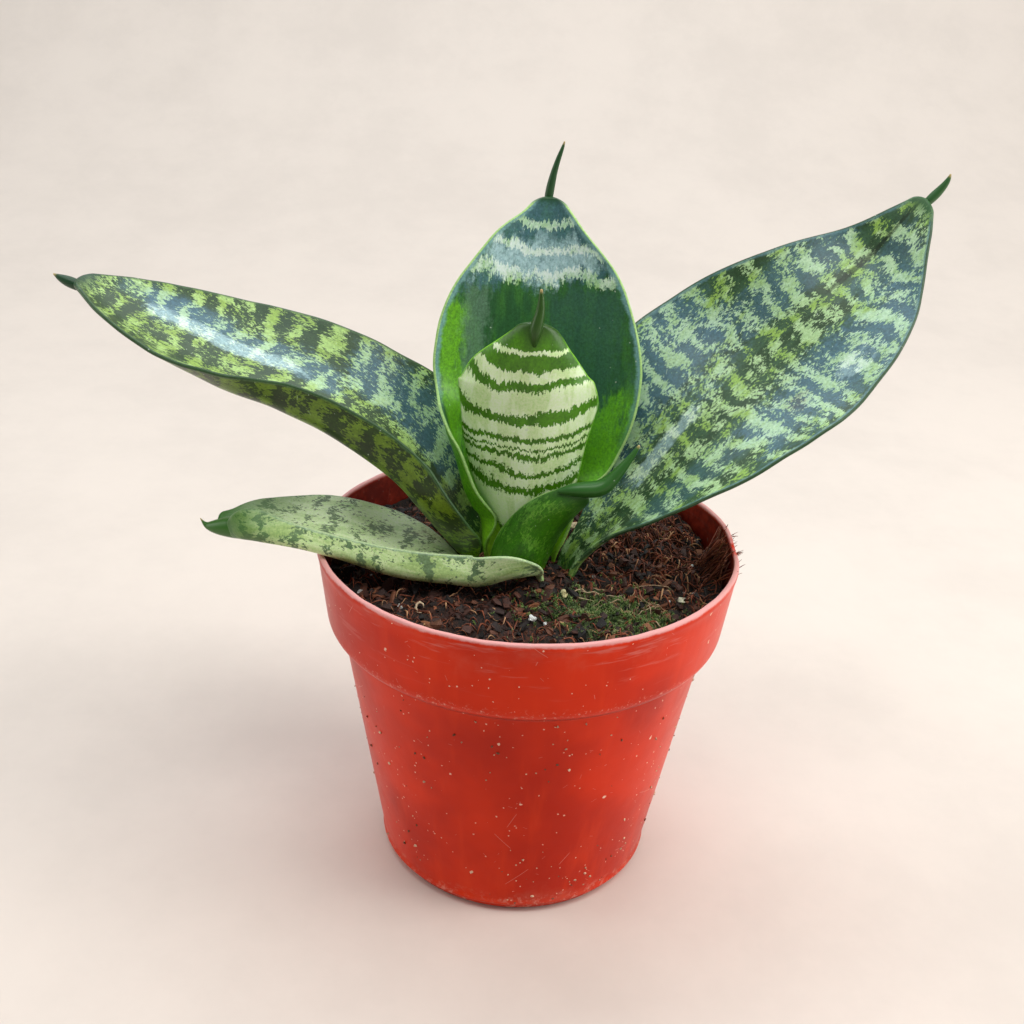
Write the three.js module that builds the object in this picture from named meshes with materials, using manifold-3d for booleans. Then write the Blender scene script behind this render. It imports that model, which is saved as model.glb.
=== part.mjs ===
// Potted snake plant: a dwarf rosette of six leaves in a tapered nursery pot.
// Millimetres, +Z up. The origin is the middle of the pot's flat underside.
import * as THREE from 'three';
import { mergeVertices } from 'three/addons/utils/BufferGeometryUtils.js';
import Module from 'manifold-3d';

const wasm = await Module();
wasm.setup();

// ---------------------------------------------------------------- driving dimensions
const GAP = 0.3; // clearance between neighbouring pieces

const POT_HEIGHT = 103;
const POT_RIM_RADIUS = 60;
const POT_FOOT_RADIUS = 39.2; // the raised foot ring
const POT_WALL_FOOT_RADIUS = 40; // the wall, carried down to the ground
const POT_WALL = 1.6;
const POT_FLOOR = 2; // thickness of the floor
const POT_FLOOR_CORNER = 2; // slant between the inner wall and the floor
const POT_TURNS = 64; // facets round the pot
const COLLAR_LOW = 80; // height of the collar's lower edge
const COLLAR_LOW_RADIUS = 57;
const SHOULDER = 76.6; // height at which the collar's underside meets the wall
const SHOULDER_RADIUS = 53;
const DRAIN_HOLES = 8;
const DRAIN_RADIUS = 3.5;
const DRAIN_TURNS = 12; // facets round a drain hole
const DRAIN_CIRCLE = 29; // radius of the ring of drain holes

const SOIL_TOP = 92.5;
const SOIL_EDGE_LOW = 89; // lowest height of its top along the wall
const SOIL_TURNS = 44; // facets round the soil
const SOIL_RINGS = 9; // rings of facets on its top
const SOIL_FOOT_EASE = 0.5; // how much further the soil stands off the pot's floor corner
// Swells (or hollows) of the soil's top: where, how high, and how far they reach.
const SOIL_SWELLS = [
  { at: [34, 34], rise: 6, reach: 20 },
  { at: [12, -30], rise: 2, reach: 17 },
  { at: [45, -20], rise: -3, reach: 12.5 },
  { at: [3, -12], rise: 2, reach: 9 },
];
// Waves that make the clods: how high, how fast they turn in x and y (radians for a millimetre).
const SOIL_WAVES = [
  { rise: 0.5, turn: [0.41, 0.37], start: 1 },
  { rise: 0.5, turn: [0.41, -0.37], start: 2 },
  { rise: 0.6, turn: [0.83, -0.55], start: 0 },
  { rise: 0.5, turn: [0.31, 0.97], start: 2 },
];

const RHIZOME_TOP = 90;
const RHIZOME_BOTTOM = 62;
const RHIZOME_RADIUS = 15;
const RHIZOME_TURNS = 24; // facets round it
// Its outline, from the bottom up: share of the radius, share of the height.
const RHIZOME_OUTLINE = [[0.45, 0.04], [0.8, 0.3], [1, 0.65], [0.97, 0.93], [0.85, 1]];
const RHIZOME_CENTRE = new THREE.Vector2(-1.5, 2);

const BLADE_MID = 2.4; // leaf thickness along the midrib
const BLADE_EDGE = 1.0; // leaf thickness at the margins
const BLADE_COLUMNS = 12; // strips across a blade
const BLADE_ROWS = 24; // strips along a blade
const THINNEST = 0.3; // least half-width and least rod thickness in the loft
const TANGENT_STEP = 0.01; // fraction of the leaf's run over which its direction is measured

// Each leaf is a list of stations from its root to the tip of its spine:
//   at    point of the midrib
//   wide  half-widths to the left and to the right, seen on the inner face with the tip up
//   cup   angle in degrees that the wider half turns through, from midrib to margin
//   curl  angle that the left and the right half are folded up by, beyond the cup
//   turn  rotation about the midrib in degrees
// heading is the direction in degrees, seen from above, that the outer face looks to.
// fold is where the curl starts and ends, as shares of the way from midrib to margin.
const LEAVES = [
  {
    name: 'leaf_back', heading: 90, fold: [0.55, 0.9], color: '#3f6f45',
    stations: [
      { at: [-1.5, 12, 88], wide: [16, 13], cup: 105 },
      { at: [-1.5, 13, 97], wide: [20, 15], cup: 105 },
      { at: [-0.5, 13.5, 107], wide: [25, 16], cup: 88, curl: [70, 0] },
      { at: [-1.5, 14.5, 117], wide: [29, 22.5], cup: 68, curl: [62, 0] },
      { at: [-0.5, 16, 127], wide: [34.5, 27], cup: 48, curl: [60, 0] },
      { at: [0.5, 18.5, 138], wide: [31, 30], cup: 37, curl: [8, 0] },
      { at: [0.5, 21.5, 149], wide: [31, 30], cup: 32 },
      { at: [0.5, 25, 160], wide: [29, 27], cup: 31 },
      { at: [0.5, 28.5, 170], wide: [24, 22.5], cup: 33 },
      { at: [0.5, 31.5, 179], wide: [16.5, 15.5], cup: 38 },
      { at: [1, 34, 186], wide: [8.5, 9], cup: 45 },
      { at: [1.2, 35.5, 191.5], wide: [3.5, 3.5], cup: 45 },
    ],
    spine: [[1.1, 36, 193, 1.5], [2.1, 36, 198.5, 0.95], [4.5, 36, 206.5, 0.3]],
  },
  {
    name: 'leaf_centre', heading: 270, fold: [0.5, 1], color: '#8fbf6a',
    stations: [
      { at: [-1, -2, 88], wide: [6, 6], cup: 75 },
      { at: [-1, -2.5, 97], wide: [8, 7], cup: 72 },
      { at: [0, -3, 107], wide: [10.5, 11.5], cup: 62 },
      { at: [-1, -3, 118], wide: [15, 17], cup: 52 },
      { at: [-1.5, -3, 130], wide: [17.5, 20], cup: 46 },
      { at: [-2, -3, 140.5], wide: [21, 20.5], cup: 44 },
      { at: [-2, -3.5, 147.5], wide: [19.5, 21.5], cup: 44 },
      { at: [-2, -3.5, 151.5], wide: [17, 18.5], cup: 44 },
      { at: [-1.5, -4, 158], wide: [12, 12.5], cup: 44 },
      { at: [-1, -4, 163], wide: [8, 7.5], cup: 46 },
      { at: [-0.6, -4, 167], wide: [4, 4], cup: 46 },
    ],
    spine: [[-0.5, -4.4, 168.7, 1.9], [0, -4.5, 172.2, 1.05], [-0.2, -4.5, 176.5, 0.3]],
  },
  {
    name: 'leaf_hook', heading: 285, fold: [0.5, 1], color: '#2f6a2f',
    stations: [
      { at: [0, -7.5, 88], wide: [5.5, 9], cup: 62 },
      { at: [-0.5, -8, 95], wide: [6.5, 11], cup: 64 },
      { at: [1.5, -8.3, 103], wide: [7, 11], cup: 62 },
      { at: [5.5, -8.3, 110.5], wide: [6, 9.5], cup: 60 },
      { at: [11, -8, 116.5], wide: [5, 6.5], cup: 60 },
      { at: [15.5, -7.5, 119.5], wide: [3.4, 3.8], cup: 50 },
    ],
    spine: [[18, -7.5, 121.5, 2.5], [21.8, -7, 124.3, 2], [25.5, -6, 129.3, 1.2], [28.8, -5, 134.6, 0.3]],
  },
  {
    name: 'leaf_right', heading: 20, fold: [0.5, 1], color: '#46735a',
    stations: [
      { at: [12, -1.5, 88], wide: [5, 6], cup: 60 },
      { at: [13.5, -1.5, 96], wide: [6, 7], cup: 60 },
      { at: [19, -0.5, 104.5], wide: [7.5, 9], cup: 52, turn: -8 },
      { at: [30, 2.5, 117.5], wide: [17, 20.5], cup: 44, turn: -15.5 },
      { at: [44.5, 7.5, 136], wide: [32.5, 31.5], cup: 37, turn: -26 },
      { at: [61, 16.5, 152], wide: [30.5, 36], cup: 32, turn: -29.5 },
      { at: [78, 22, 168.5], wide: [21.5, 30], cup: 28, turn: -35 },
      { at: [92, 28.5, 180], wide: [12.5, 20], cup: 32, turn: -35.5 },
      { at: [100, 30, 190.5], wide: [6, 10], cup: 36, turn: -36 },
      { at: [105, 31.5, 196.5], wide: [2.5, 3], cup: 40, turn: -36 },
    ],
    spine: [[107, 32, 197.8, 1.4], [109.3, 32, 200.5, 1], [110.5, 32, 204, 0.3]],
  },
  {
    name: 'leaf_left', heading: 174, fold: [0.4, 0.82], color: '#3d6a44',
    stations: [
      { at: [-15.5, 3, 88], wide: [8, 8], cup: 75 },
      { at: [-18, 3, 95], wide: [10, 10], cup: 72 },
      { at: [-22, 2.5, 102], wide: [18.5, 15], cup: 60, curl: [30, 0] },
      { at: [-28.5, 1.5, 114.5], wide: [25, 19.5], cup: 46, curl: [43, 0], turn: 8 },
      { at: [-38, 3, 126], wide: [26.5, 30.5], cup: 36, curl: [70, 0], turn: 10 },
      { at: [-52, 5.5, 136], wide: [27.5, 28], cup: 28, curl: [72, 0], turn: 13.5 },
      { at: [-67, 8.5, 142.5], wide: [27, 26], cup: 24, curl: [65, 0], turn: 15 },
      { at: [-84, 9, 148.5], wide: [27, 24], cup: 24, curl: [35, 0], turn: 12.5 },
      { at: [-104, 9.5, 157], wide: [17, 16.5], cup: 24, curl: [8, 0], turn: 14 },
      { at: [-117, 10.5, 162.5], wide: [11, 11.5], cup: 28, curl: [8, 0], turn: 10 },
      { at: [-126, 11.5, 168], wide: [4, 3.5], cup: 32, turn: 6 },
    ],
    spine: [[-128.3, 12, 167.8, 1.7], [-130.7, 12, 168.3, 1.1], [-132.6, 12, 169.3, 0.3]],
  },
  {
    name: 'leaf_front', heading: 188, fold: [0.36, 0.72], color: '#7fa05a',
    stations: [
      { at: [4.5, -11.5, 89], wide: [2, 1.5], cup: 10 },
      { at: [2.5, -11.5, 98], wide: [4, 1.5], cup: 10, curl: [20, 0] },
      { at: [-4, -14.5, 99], wide: [13, 1.5], cup: 10, curl: [60, 0], turn: -16 },
      { at: [-14, -13.5, 96.5], wide: [16, 2.5], cup: 10, curl: [100, 0], turn: -8 },
      { at: [-25, -12.5, 98], wide: [16, 13], cup: 10, curl: [115, 0], turn: 6 },
      { at: [-38, -12.5, 100], wide: [15, 21], cup: 10, curl: [118, 0], turn: 9 },
      { at: [-51, -14, 104], wide: [12, 20.5], cup: 12, curl: [115, 0], turn: 9 },
      { at: [-64, -14, 106.5], wide: [12, 21], cup: 14, curl: [115, 0], turn: 2 },
      { at: [-75, -13, 108], wide: [16, 14.5], cup: 18, curl: [110, 0] },
      { at: [-82, -13, 107.5], wide: [8, 7.5], cup: 30, curl: [60, 0], turn: 3 },
      { at: [-85.5, -14, 108], wide: [4.5, 4.5], cup: 40, curl: [20, 0] },
    ],
    spine: [[-87, -14.3, 108.3, 2.2], [-88.3, -14.6, 108.5, 1.4], [-89.3, -15, 108.8, 0.4]],
  },
];

// ---------------------------------------------------------------- solids and booleans
function material(color, roughness) {
  return new THREE.MeshStandardMaterial({ color, roughness, metalness: 0 });
}

function toSolid(geometry) {
  const bare = geometry.clone();
  bare.deleteAttribute('normal');
  bare.deleteAttribute('uv');
  const merged = mergeVertices(bare, 1e-4);
  return new wasm.Manifold(new wasm.Mesh({
    numProp: 3,
    vertProperties: new Float32Array(merged.attributes.position.array),
    triVerts: new Uint32Array(merged.index.array),
  }));
}

function toGeometry(solid) {
  const mesh = solid.getMesh();
  const geometry = new THREE.BufferGeometry();
  geometry.setAttribute('position', new THREE.BufferAttribute(mesh.vertProperties, 3));
  geometry.setIndex(new THREE.BufferAttribute(mesh.triVerts, 1));
  geometry.computeVertexNormals();
  return geometry;
}

function lathe(profile, turns) {
  const points = profile.map(([radius, height]) => new THREE.Vector2(radius, height));
  const geometry = new THREE.LatheGeometry(points, turns);
  geometry.rotateX(Math.PI / 2);
  return geometry;
}

// ---------------------------------------------------------------- leaves
// A smooth run through the stations' numbers, read at a fraction of the leaf's length.
function smoothRun(rows) {
  const last = rows.length - 1;
  return (fraction) => {
    const place = fraction * last;
    const start = Math.min(Math.floor(place), last - 1);
    const t = place - start;
    const [p, q, r, s] = [start - 1, start, start + 1, start + 2]
      .map((i) => rows[THREE.MathUtils.clamp(i, 0, last)]);
    return q.map((value, k) => {
      const leave = (r[k] - p[k]) / 2;
      const arrive = (s[k] - value) / 2;
      const bend = 2 * value - 2 * r[k] + leave + arrive;
      const sag = -3 * value + 3 * r[k] - 2 * leave - arrive;
      return ((bend * t + sag) * t + leave) * t + value;
    });
  };
}

// The stations and the spine as rows of plain numbers; round is 1 where the section is a rod.
function leafRows(leaf) {
  const blade = leaf.stations.map(({ at, wide, cup, curl = [0, 0], turn = 0 }) => (
    [...at, ...wide, cup, ...curl, turn, 0]
  ));
  const turn = leaf.stations.at(-1).turn ?? 0;
  const spine = leaf.spine.map(([x, y, z, radius]) => [x, y, z, radius, radius, 0, 0, 0, turn, 1]);
  return [...blade, ...spine];
}

// One closed cross-section, as points on the inner face and then back along the outer face.
function leafSection({ left, right, cup, curl, fold, round }, grow) {
  const radiusTurn = THREE.MathUtils.degToRad(cup) / Math.max(left, right);
  const half = BLADE_COLUMNS / 2;
  const middle = [{ x: 0, y: 0, lean: 0, u: 0, side: 1 }];
  for (const [side, width] of [[-1, left], [1, right]]) {
    const folded = THREE.MathUtils.degToRad(side < 0 ? curl[0] : curl[1]);
    const leanAt = (u) => radiusTurn * width * u + folded * THREE.MathUtils.smoothstep(u, ...fold);
    let x = 0;
    let y = 0;
    for (let k = 1; k <= half; k += 1) {
      const step = (width + grow) / half;
      const mid = (k - 0.5) / half;
      x += step * Math.cos(leanAt(mid));
      y += step * Math.sin(leanAt(mid));
      const u = k / half;
      const spot = { x: side * x, y, lean: side * leanAt(u), u, side };
      if (side < 0) middle.unshift(spot);
      else middle.push(spot);
    }
  }
  const faces = [1, -1].map((face) => middle.map(({ x, y, lean, u, side }) => {
    const width = side < 0 ? left : right;
    const flat = BLADE_EDGE + (BLADE_MID - BLADE_EDGE) * (1 - u * u);
    const rod = Math.max(2 * width * Math.sqrt(Math.max(0, 1 - u * u)), THINNEST);
    const thin = Math.min(THREE.MathUtils.lerp(flat, rod, round), 2 * width + BLADE_EDGE / 2);
    const offset = face * (thin / 2 + grow);
    return [x - offset * Math.sin(lean), y + offset * Math.cos(lean)];
  }));
  return [...faces[0], ...faces[1].reverse()];
}

// A leaf as one closed loft; grow widens it on every side, for the hole it stands in.
function leafGeometry(leaf, grow = 0) {
  const run = smoothRun(leafRows(leaf));
  const heading = THREE.MathUtils.degToRad(leaf.heading);
  const across = new THREE.Vector3(Math.sin(heading), -Math.cos(heading), 0);
  const positions = [];
  for (let row = 0; row <= BLADE_ROWS; row += 1) {
    const fraction = row / BLADE_ROWS;
    const [x, y, z, left, right, cup, curlLeft, curlRight, turn, round] = run(fraction);
    const ahead = run(Math.min(fraction + TANGENT_STEP, 1));
    const behind = run(Math.max(fraction - TANGENT_STEP, 0));
    const along = new THREE.Vector3(...ahead.slice(0, 3)).sub(new THREE.Vector3(...behind.slice(0, 3)));
    along.normalize();
    const sideways = across.clone().addScaledVector(along, -across.dot(along)).normalize();
    sideways.applyAxisAngle(along, THREE.MathUtils.degToRad(-turn));
    const inward = sideways.clone().cross(along);
    const section = leafSection({
      left: Math.max(left, THINNEST),
      right: Math.max(right, THINNEST),
      cup,
      curl: [curlLeft, curlRight],
      fold: leaf.fold,
      round: THREE.MathUtils.clamp(round, 0, 1),
    }, grow);
    for (const [sx, sy] of section) {
      positions.push(
        x + sideways.x * sx + inward.x * sy,
        y + sideways.y * sx + inward.y * sy,
        z + sideways.z * sx + inward.z * sy,
      );
    }
  }
  const geometry = new THREE.BufferGeometry();
  geometry.setAttribute('position', new THREE.Float32BufferAttribute(positions, 3));
  geometry.setIndex(leafFaces());
  geometry.computeVertexNormals();
  return geometry;
}

// Triangles of the loft: both faces of the blade are split along the same diagonals.
function leafFaces() {
  const ring = 2 * (BLADE_COLUMNS + 1);
  const faces = [];
  for (let row = 0; row < BLADE_ROWS; row += 1) {
    for (let k = 0; k < ring; k += 1) {
      const a = row * ring + k;
      const b = row * ring + ((k + 1) % ring);
      const c = b + ring;
      const d = a + ring;
      if (k <= BLADE_COLUMNS) faces.push(a, b, c, a, c, d);
      else faces.push(a, b, d, b, c, d);
    }
  }
  const top = BLADE_ROWS * ring;
  for (let k = 0; k < BLADE_COLUMNS; k += 1) {
    const under = ring - 1 - k;
    faces.push(k, under, k + 1, k + 1, under, under - 1);
    faces.push(top + k, top + k + 1, top + under, top + k + 1, top + under - 1, top + under);
  }
  return faces;
}

// ---------------------------------------------------------------- pot
function potWallRadius(height) {
  return THREE.MathUtils.lerp(POT_WALL_FOOT_RADIUS, SHOULDER_RADIUS, height / SHOULDER);
}

// The pot's inner radius, which the soil follows.
function potInnerRadius(height) {
  if (height <= SHOULDER) return potWallRadius(height) - POT_WALL;
  if (height >= COLLAR_LOW) {
    const rise = (height - COLLAR_LOW) / (POT_HEIGHT - COLLAR_LOW);
    return COLLAR_LOW_RADIUS + (POT_RIM_RADIUS - COLLAR_LOW_RADIUS) * rise - POT_WALL;
  }
  const step = (height - SHOULDER) / (COLLAR_LOW - SHOULDER);
  return THREE.MathUtils.lerp(SHOULDER_RADIUS, COLLAR_LOW_RADIUS, step) - POT_WALL;
}

// The pot's outline as [radius, height], from the middle of its underside over the lip to its floor.
function potOutline() {
  const foot = [
    [0, 0],
    [POT_FOOT_RADIUS - 2, 0],
    [POT_FOOT_RADIUS - 0.6, 0.7],
    [POT_FOOT_RADIUS + 0.2, 2.2],
    [potWallRadius(3.4) + 0.5, 3.4],
    [potWallRadius(5), 5],
  ];
  const collar = [
    [SHOULDER_RADIUS, SHOULDER],
    [COLLAR_LOW_RADIUS - 1.2, COLLAR_LOW - 1.6],
    [COLLAR_LOW_RADIUS - 0.2, COLLAR_LOW - 0.3],
    [COLLAR_LOW_RADIUS + 0.1, COLLAR_LOW + 1.2],
  ];
  const lip = [
    [POT_RIM_RADIUS - 0.5, POT_HEIGHT - 3],
    [POT_RIM_RADIUS, POT_HEIGHT - 1.2],
    [POT_RIM_RADIUS - 0.4, POT_HEIGHT],
    [POT_RIM_RADIUS - POT_WALL + 0.3, POT_HEIGHT],
    [POT_RIM_RADIUS - POT_WALL, POT_HEIGHT - 0.8],
  ];
  const inside = [
    [potInnerRadius(COLLAR_LOW), COLLAR_LOW],
    [potInnerRadius(SHOULDER), SHOULDER],
    [potInnerRadius(POT_FLOOR + POT_FLOOR_CORNER), POT_FLOOR + POT_FLOOR_CORNER],
    [potInnerRadius(POT_FLOOR) - POT_FLOOR_CORNER, POT_FLOOR],
    [0, POT_FLOOR],
  ];
  return [...foot, ...collar, ...lip, ...inside];
}

function buildPot() {
  let pot = toSolid(lathe(potOutline(), POT_TURNS));
  for (let k = 0; k < DRAIN_HOLES; k += 1) {
    const angle = (k + 0.5) * (2 * Math.PI / DRAIN_HOLES);
    const drill = new THREE.CylinderGeometry(DRAIN_RADIUS, DRAIN_RADIUS, 4 * POT_FLOOR, DRAIN_TURNS);
    drill.rotateX(Math.PI / 2);
    drill.translate(DRAIN_CIRCLE * Math.cos(angle), DRAIN_CIRCLE * Math.sin(angle), 0);
    pot = pot.subtract(toSolid(drill));
  }
  const mesh = new THREE.Mesh(toGeometry(pot), material('#c4301b', 0.45));
  mesh.name = 'pot';
  return mesh;
}

// ---------------------------------------------------------------- soil and rhizome
// Height of the soil's top: its swells and hollows, and the clods.
function soilHeight(x, y) {
  let height = SOIL_TOP;
  for (const { at, rise, reach } of SOIL_SWELLS) {
    height += rise * Math.exp(-(Math.hypot(x - at[0], y - at[1]) ** 2) / reach ** 2);
  }
  for (const { rise, turn, start } of SOIL_WAVES) {
    height += rise * Math.sin(turn[0] * x + turn[1] * y + start);
  }
  return height;
}

function buildSoil(roots) {
  const reach = potInnerRadius(SOIL_EDGE_LOW) - GAP;
  const profile = [
    [0, POT_FLOOR + GAP],
    [potInnerRadius(POT_FLOOR) - POT_FLOOR_CORNER - SOIL_FOOT_EASE, POT_FLOOR + GAP],
    [potInnerRadius(POT_FLOOR + POT_FLOOR_CORNER) - SOIL_FOOT_EASE, POT_FLOOR + POT_FLOOR_CORNER + GAP],
    [potInnerRadius(SHOULDER) - GAP, SHOULDER],
    [potInnerRadius(COLLAR_LOW) - SOIL_FOOT_EASE, COLLAR_LOW + GAP],
  ];
  for (let ring = SOIL_RINGS; ring >= 0; ring -= 1) {
    profile.push([reach * ring / SOIL_RINGS, SOIL_TOP]);
  }
  const geometry = lathe(profile, SOIL_TURNS);
  const spots = geometry.attributes.position;
  for (let i = 0; i < spots.count; i += 1) {
    if (spots.getZ(i) < SOIL_TOP - 1) continue;
    spots.setZ(i, soilHeight(spots.getX(i), spots.getY(i)));
  }
  let soil = toSolid(geometry);
  for (const root of roots) soil = soil.subtract(root);
  const mesh = new THREE.Mesh(toGeometry(soil), material('#2c211c', 0.95));
  mesh.name = 'soil';
  return mesh;
}

// The short stem under the soil; grow widens it for the hole it stands in.
function rhizomeGeometry(grow = 0) {
  const low = RHIZOME_BOTTOM - grow;
  const high = RHIZOME_TOP + grow;
  const outline = RHIZOME_OUTLINE.map(([share, rise]) => (
    [(RHIZOME_RADIUS + grow) * share, THREE.MathUtils.lerp(low, high, rise)]
  ));
  const geometry = lathe([[0, low], ...outline, [0, high]], RHIZOME_TURNS);
  geometry.translate(RHIZOME_CENTRE.x, RHIZOME_CENTRE.y, 0);
  return geometry;
}

function buildRhizome(roots) {
  let rhizome = toSolid(rhizomeGeometry());
  for (const root of roots) rhizome = rhizome.subtract(root);
  const mesh = new THREE.Mesh(toGeometry(rhizome), material('#b98a4a', 0.7));
  mesh.name = 'rhizome';
  return mesh;
}

// ---------------------------------------------------------------- the plant in its pot
const plant = new THREE.Group();
plant.name = 'potted_snake_plant';

for (const leaf of LEAVES) {
  const mesh = new THREE.Mesh(leafGeometry(leaf), material(leaf.color, 0.4));
  mesh.name = leaf.name;
  plant.add(mesh);
}

const leafHoles = LEAVES.map((leaf) => toSolid(leafGeometry(leaf, GAP)));
plant.add(buildPot());
plant.add(buildRhizome(leafHoles));
plant.add(buildSoil([...leafHoles, toSolid(rhizomeGeometry(GAP))]));

export default plant;
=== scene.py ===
"""A potted snake plant: a waxy banded rosette of six leaves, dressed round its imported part."""

import math
import random
from collections import namedtuple

import bmesh
import bpy
from bpy.props import FloatProperty, FloatVectorProperty, IntProperty, PointerProperty, StringProperty
from mathutils import Matrix, Vector, noise


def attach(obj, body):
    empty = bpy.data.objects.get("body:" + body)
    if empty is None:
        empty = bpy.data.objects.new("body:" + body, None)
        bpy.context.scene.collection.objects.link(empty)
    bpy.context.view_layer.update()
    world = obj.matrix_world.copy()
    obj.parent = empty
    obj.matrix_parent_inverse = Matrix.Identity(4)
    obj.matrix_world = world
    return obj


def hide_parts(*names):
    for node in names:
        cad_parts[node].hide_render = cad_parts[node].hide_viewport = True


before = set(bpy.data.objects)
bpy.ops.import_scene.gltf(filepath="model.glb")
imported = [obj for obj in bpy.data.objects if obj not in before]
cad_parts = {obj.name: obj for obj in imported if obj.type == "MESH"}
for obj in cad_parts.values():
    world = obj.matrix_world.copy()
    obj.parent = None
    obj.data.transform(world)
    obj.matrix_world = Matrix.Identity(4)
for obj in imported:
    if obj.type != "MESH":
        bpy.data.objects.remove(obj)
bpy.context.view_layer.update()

bl_info = {
    "name": "Potted snake plant",
    "version": (1, 0, 0),
    "blender": (4, 5, 0),
    "location": "3D View > Sidebar > Plant",
    "description": "Builds a banded snake plant in a worn nursery pot, piece by piece",
    "category": "Add Mesh",
}

MM = 0.001
BODY = "root"


# ---------------------------------------------------------------- leaf shapes, in millimetres
# at: a point of the midrib; wide: half-widths left and right, seen on the inner face with the tip
# up; cup: degrees that the wider half turns through; curl: degrees that the left and right halves
# are folded up by; turn: rotation about the midrib. heading is where the outer face looks, from
# above; fold is where the curl starts and ends, as shares of the way from midrib to margin.
# beyond is where the midrib heads for past its last station. spine is the round end spine, from
# its root on the outer face to its tip: x, y, z and radius.
Station = namedtuple("Station", "at wide cup curl turn", defaults=((0, 0), 0))
Leaf = namedtuple("Leaf", "heading fold stations beyond spine")

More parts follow.
